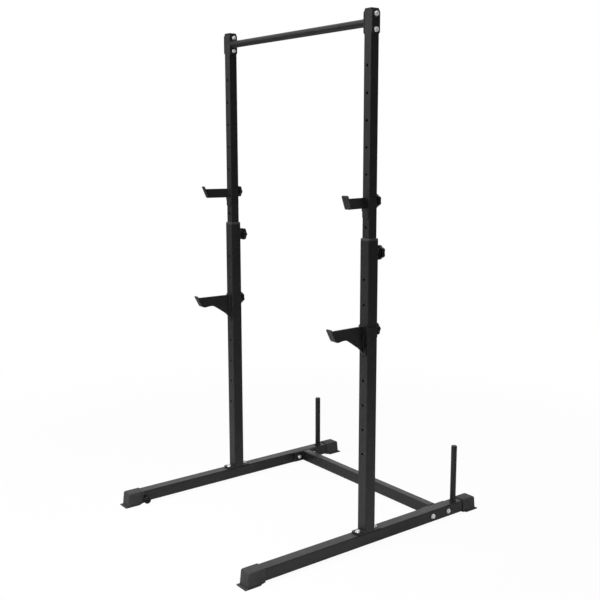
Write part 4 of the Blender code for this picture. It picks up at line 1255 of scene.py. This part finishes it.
def pinHousing(side):
    look = pinLook
    node = "pin_housing_" + side
    low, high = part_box(node)
    seat = uprightY + lowerSize / 2 + gap
    nose = low.y
    length = high.y - seat
    hexPart = hexShape(look["housingRadius"] * 2 * cos(pi / 6) - look["hexInside"], look["hexThick"])
    top = look["threadTop"]
    barrel = [(look["noseBore"], nose - seat), (look["noseRadius"], nose - seat), (look["noseRadius"], 0.0),
              (top, 0.0), (top, look["hexThick"])]
    grooves = int((length - look["hexThick"]) / boltLook["pitch"]) - 1
    for n in range(grooves):
        height = look["hexThick"] + boltLook["pitch"] * (n + 0.5)
        barrel += [(look["threadRoot"], height), (top, height + boltLook["pitch"] / 2)]
    rearWall = length - look["rearWall"]
    barrel += [(top, length - look["tip"]), (top - look["tip"], length), (look["bore"], length),
               (look["bore"], rearWall), (look["chamber"], rearWall), (look["chamber"], look["frontWall"]),
               (look["noseBore"], look["frontWall"])]
    hexPart = combined(hexPart, shifted(rod(look["chamber"], 2 * cut), 0, 0, look["frontWall"]))
    hexPart = combined(hexPart, shifted(rod(look["noseBore"], 2 * cut), 0, 0, -cut))
    place = alongAxis((0, 1, 0), (uprightX[side], seat, pinHeight))
    shapes = [moved(turnedShape(barrel, hollow=True), place), moved(hexPart, place)]
    makePiece(pieceName("pinHousing", side), shapes, "black", "stand", node, rounding=0.0002)


def pinPlunger(side):
    look = pinLook
    node = "pin_plunger_" + side
    low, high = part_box(node)
    length = high.y - low.y
    collar = look["collarFrom"] - (low.y - uprightY)
    collarEnd = collar + look["collarThick"]
    profile = []
    for n in range(look["roundSteps"] + 1):
        angle = pi / 2 * n / look["roundSteps"]
        radius = look["pinRadius"] * sin(angle) * look["roundWidth"]
        profile.append((radius, look["roundLength"] * (1 - cos(angle))))
    profile += [(look["pinRadius"], look["endLength"]), (look["pinRadius"], collar),
                (look["collarRadius"], collar), (look["collarRadius"], collarEnd),
                (look["tailRadius"], collarEnd), (look["tailRadius"], length), (0, length)]
    shape = moved(turnedShape(profile, steps=40), alongAxis((0, 1, 0), (uprightX[side], low.y, pinHeight)))
    makePiece(pieceName("pinPlunger", side), [shape], "zinc", "height_pin_" + side, node, rounding=0.0003)


def pinKnob(side):
    look = pinLook
    node = "pin_knob_" + side
    low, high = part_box(node)
    length = high.y - low.y
    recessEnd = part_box("pin_plunger_" + side)[1].y - low.y - look["tailInKnob"]
    recess = look["housingRadius"] + 2 * gap
    bore = look["tailRadius"] + gap
    neckRadius = look["knobNeckRadius"]
    chamfer = look["knobNeckChamfer"]
    neckEnd = look["knobNeck"] + overlap
    neck = turnedShape([(recess, 0), (neckRadius, 0), (neckRadius + chamfer, chamfer),
                        (neckRadius + look["knobNeckFlare"], neckEnd), (recess, neckEnd)], hollow=True)
    head = shifted(lobedHead(look["knob"], length - look["knobNeck"]), 0, 0, look["knobNeck"])
    head = combined(head, shifted(rod(recess, recessEnd + cut, sidesRound=48), 0, 0, -cut))
    head = combined(head, shifted(rod(bore, cut + look["tailInKnob"] + gap), 0, 0, recessEnd - cut))
    turn = Matrix.Rotation(look["knobTurn"][side], 4, "Z")
    place = alongAxis((0, 1, 0), (uprightX[side], low.y, pinHeight)) @ turn
    shapes = [moved(head, place), moved(neck, place)]
    makePiece(pieceName("pinKnob", side), shapes, "knob", "height_pin_" + side, node, rounding=0.0004)


# plate pegs

pegLook = {
    "radius": 0.0125,
    "wall": 0.002,
    "bead": 0.0044,
    "beadOutside": 0.0008,
    "beadRise": 0.42,      # its middle above the foot, against its width
    "capRound": 0.0035,
    "capSteps": 6,
    "plugTaper": 0.0006,
    "plugTip": 0.001,
}


def platePeg(side):
    look = pegLook
    node = "plate_peg_" + side
    low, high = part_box(node)
    centre = (low + high) / 2
    inner = look["radius"] - look["wall"]
    length = high.z - low.z
    profile = [(inner, 0), (look["radius"], 0), (look["radius"], length), (inner, length)]
    place = Matrix.Translation((centre.x, centre.y, low.z))
    tube = moved(turnedShape(profile, hollow=True), place)
    seam = roundSeam(look["radius"] + look["beadOutside"], look["bead"] * look["beadRise"])
    foot = moved(weldBead(seam, width=look["bead"]), place)
    makePiece(pieceName("platePeg", side), [tube, foot], "coat", "stand", node, rounding=0.0004)


def pegCap(side):
    look = pegLook
    node = "peg_cap_" + side
    low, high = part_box(node)
    centre = (low + high) / 2
    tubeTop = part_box("plate_peg_" + side)[1].z - low.z + gap
    length = high.z - low.z
    plug = look["radius"] - look["wall"] - gap
    profile = [(0, 0), (plug - look["plugTaper"], 0), (plug, look["plugTip"]), (plug, tubeTop),
               (look["radius"], tubeTop)]
    for n in range(look["capSteps"] + 1):
        angle = pi / 2 * n / look["capSteps"]
        profile.append((look["radius"] - look["capRound"] * (1 - cos(angle)),
                        length - look["capRound"] * (1 - sin(angle))))
    profile.append((0, length))
    cap = shifted(turnedShape(profile), centre.x, centre.y, low.z)
    makePiece(pieceName("pegCap", side), [cap], "knob", "stand", node, rounding=0.0002)


# transport wheels

wheelLook = {
    "tyreRound": 0.0035,
    "tyreSteps": 5,
    "boss": 0.0060,      # the dish lies between the boss and the rim
    "bossFoot": 0.0065,
    "rimFoot": 0.0105,
    "rim": 0.0111,
    "dish": 0.0016,
    "bore": 0.0043,
    "axle": 0.0039,
    "axleThread": 0.004,
    "axleTip": 0.001,
    "axleHead": 0.0075,
    "headRim": 0.0008,
    "headSteps": 5,
    "headCurve": 0.6,      # how far the head's side leans in
    "socket": 0.004,
    "socketDepth": 0.002,
    "spacer": 0.0065,
    "nutAcross": 0.013,
    "nutHeight": 0.006,
}


def transportWheel(side):
    look = wheelLook
    node = "transport_wheel_" + side
    low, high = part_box(node)
    centre = (low + high) / 2
    width = high.x - low.x
    radius = (high.z - low.z) / 2
    half = [(look["bore"], 0), (look["boss"], 0), (look["bossFoot"], look["dish"]),
            (look["rimFoot"], look["dish"]), (look["rim"], 0)]
    for n in range(look["tyreSteps"] + 1):
        angle = pi / 2 * n / look["tyreSteps"]
        half.append((radius - look["tyreRound"] * (1 - sin(angle)), look["tyreRound"] * (1 - cos(angle))))
    profile = half + [(r, width - along) for r, along in reversed(half)]
    shape = turnedShape(profile, steps=56, hollow=True)
    moved(shape, alongAxis((1, 0, 0), (low.x, centre.y, centre.z)))
    makePiece(pieceName("transportWheel", side), [shape], "wheel", "wheel_" + side, node, rounding=0.0002)


def wheelAxle(side):
    look = wheelLook
    node = "wheel_axle_" + side
    low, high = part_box(node)
    sign = sides[side]
    wheelLow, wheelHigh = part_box("transport_wheel_" + side)
    centre = (wheelLow + wheelHigh) / 2
    innerFace, outerFace = (wheelLow.x, wheelHigh.x) if sign > 0 else (wheelHigh.x, wheelLow.x)
    headEnd = low.x if sign > 0 else high.x
    tail = high.x if sign > 0 else low.x
    railFace = uprightX[side] - sign * extent("base_rail_" + side).x / 2
    width = abs(outerFace - innerFace)
    shoulderEnd = abs(railFace - outerFace) - gap
    tip = abs(tail - outerFace)
    head = abs(headEnd - innerFace) - gap
    top = width + gap
    thread = look["axleThread"]
    rimTop = top + look["headRim"]
    profile = [(0, -tip), (thread - look["axleTip"], -tip), (thread, -tip + look["axleTip"]),
               (thread, -shoulderEnd), (look["spacer"], -shoulderEnd), (look["spacer"], -gap),
               (look["axle"], -gap), (look["axle"], top), (look["axleHead"], top), (look["axleHead"], rimTop)]
    for n in range(1, look["headSteps"] + 1):
        angle = pi / 2 * n / look["headSteps"]
        profile.append((look["axleHead"] * cos(angle * look["headCurve"]),
                        rimTop + (head - look["headRim"]) * sin(angle)))
    profile.append((0, top + head))
    axle = turnedShape(profile, steps=40)
    socket = shifted(startHex(look["socket"], cut), 0, 0, top + head - look["socketDepth"])
    axle = combined(axle, socket)
    nut = hexShape(look["nutAcross"], look["nutHeight"], chamferFoot=True)
    nutFoot = -abs(railFace - outerFace) - railLook["wall"] - gap - look["nutHeight"]
    moved(nut, Matrix.Translation((0, 0, nutFoot)) @ Matrix.Rotation(pi / 6, 4, "Z"))
    place = alongAxis((-sign, 0, 0), (outerFace, centre.y, centre.z))
    shapes = [moved(axle, place), moved(nut, place)]
    makePiece(pieceName("wheelAxle", side), shapes, "black", "stand", node, rounding=0.0002)


for side in sides:
    baseRail(side)
    endShoe(side, "front")
    endShoe(side, "rear")
    for number, end in enumerate(("front", "rear")):
        crossmemberBolt(side, end, number)
        basePlateBolt(side, end, number)
    platePeg(side)
    pegCap(side)
    transportWheel(side)
    wheelAxle(side)
rearCrossmember()
print("base made")

for side in sides:
    lowerUpright(side)
    tubeBushing(side)
    upperUpright(side)
    topCap(side)
    pinHousing(side)
    pinPlunger(side)
    pinKnob(side)
    barClampPlate(side)
    for number, end in enumerate(("upper", "lower")):
        barBolt(side, end, number)
pullUpBar()
print("uprights, pins and bar made")

for side in sides:
    holder("barHook", side, upperSize, hookHeight, hookLook, "bar_hook_" + side, "hook_" + side)
    holder("safetyArm", side, lowerSize, safetyHeight, safetyLook, "safety_arm_" + side, "safety_" + side)
    clampKnob("hookKnob", side, "hook_knob_" + side, "hook_knob_" + side, 0.3 + sides[side] * 0.2)
    clampKnob("safetyKnob", side, "safety_knob_" + side, "safety_knob_" + side, 0.1 - sides[side] * 0.3)
print("hooks, safety arms and knobs made")

# pieces whose frame shape is right and only take their finish
for side in sides:
    for word, finish in (("tube_glide_", "shoe"), ("pin_spring_", "steel")):
        node = nodes[word + side]
        node.data.materials.clear()
        node.data.materials.append(finishes[finish])
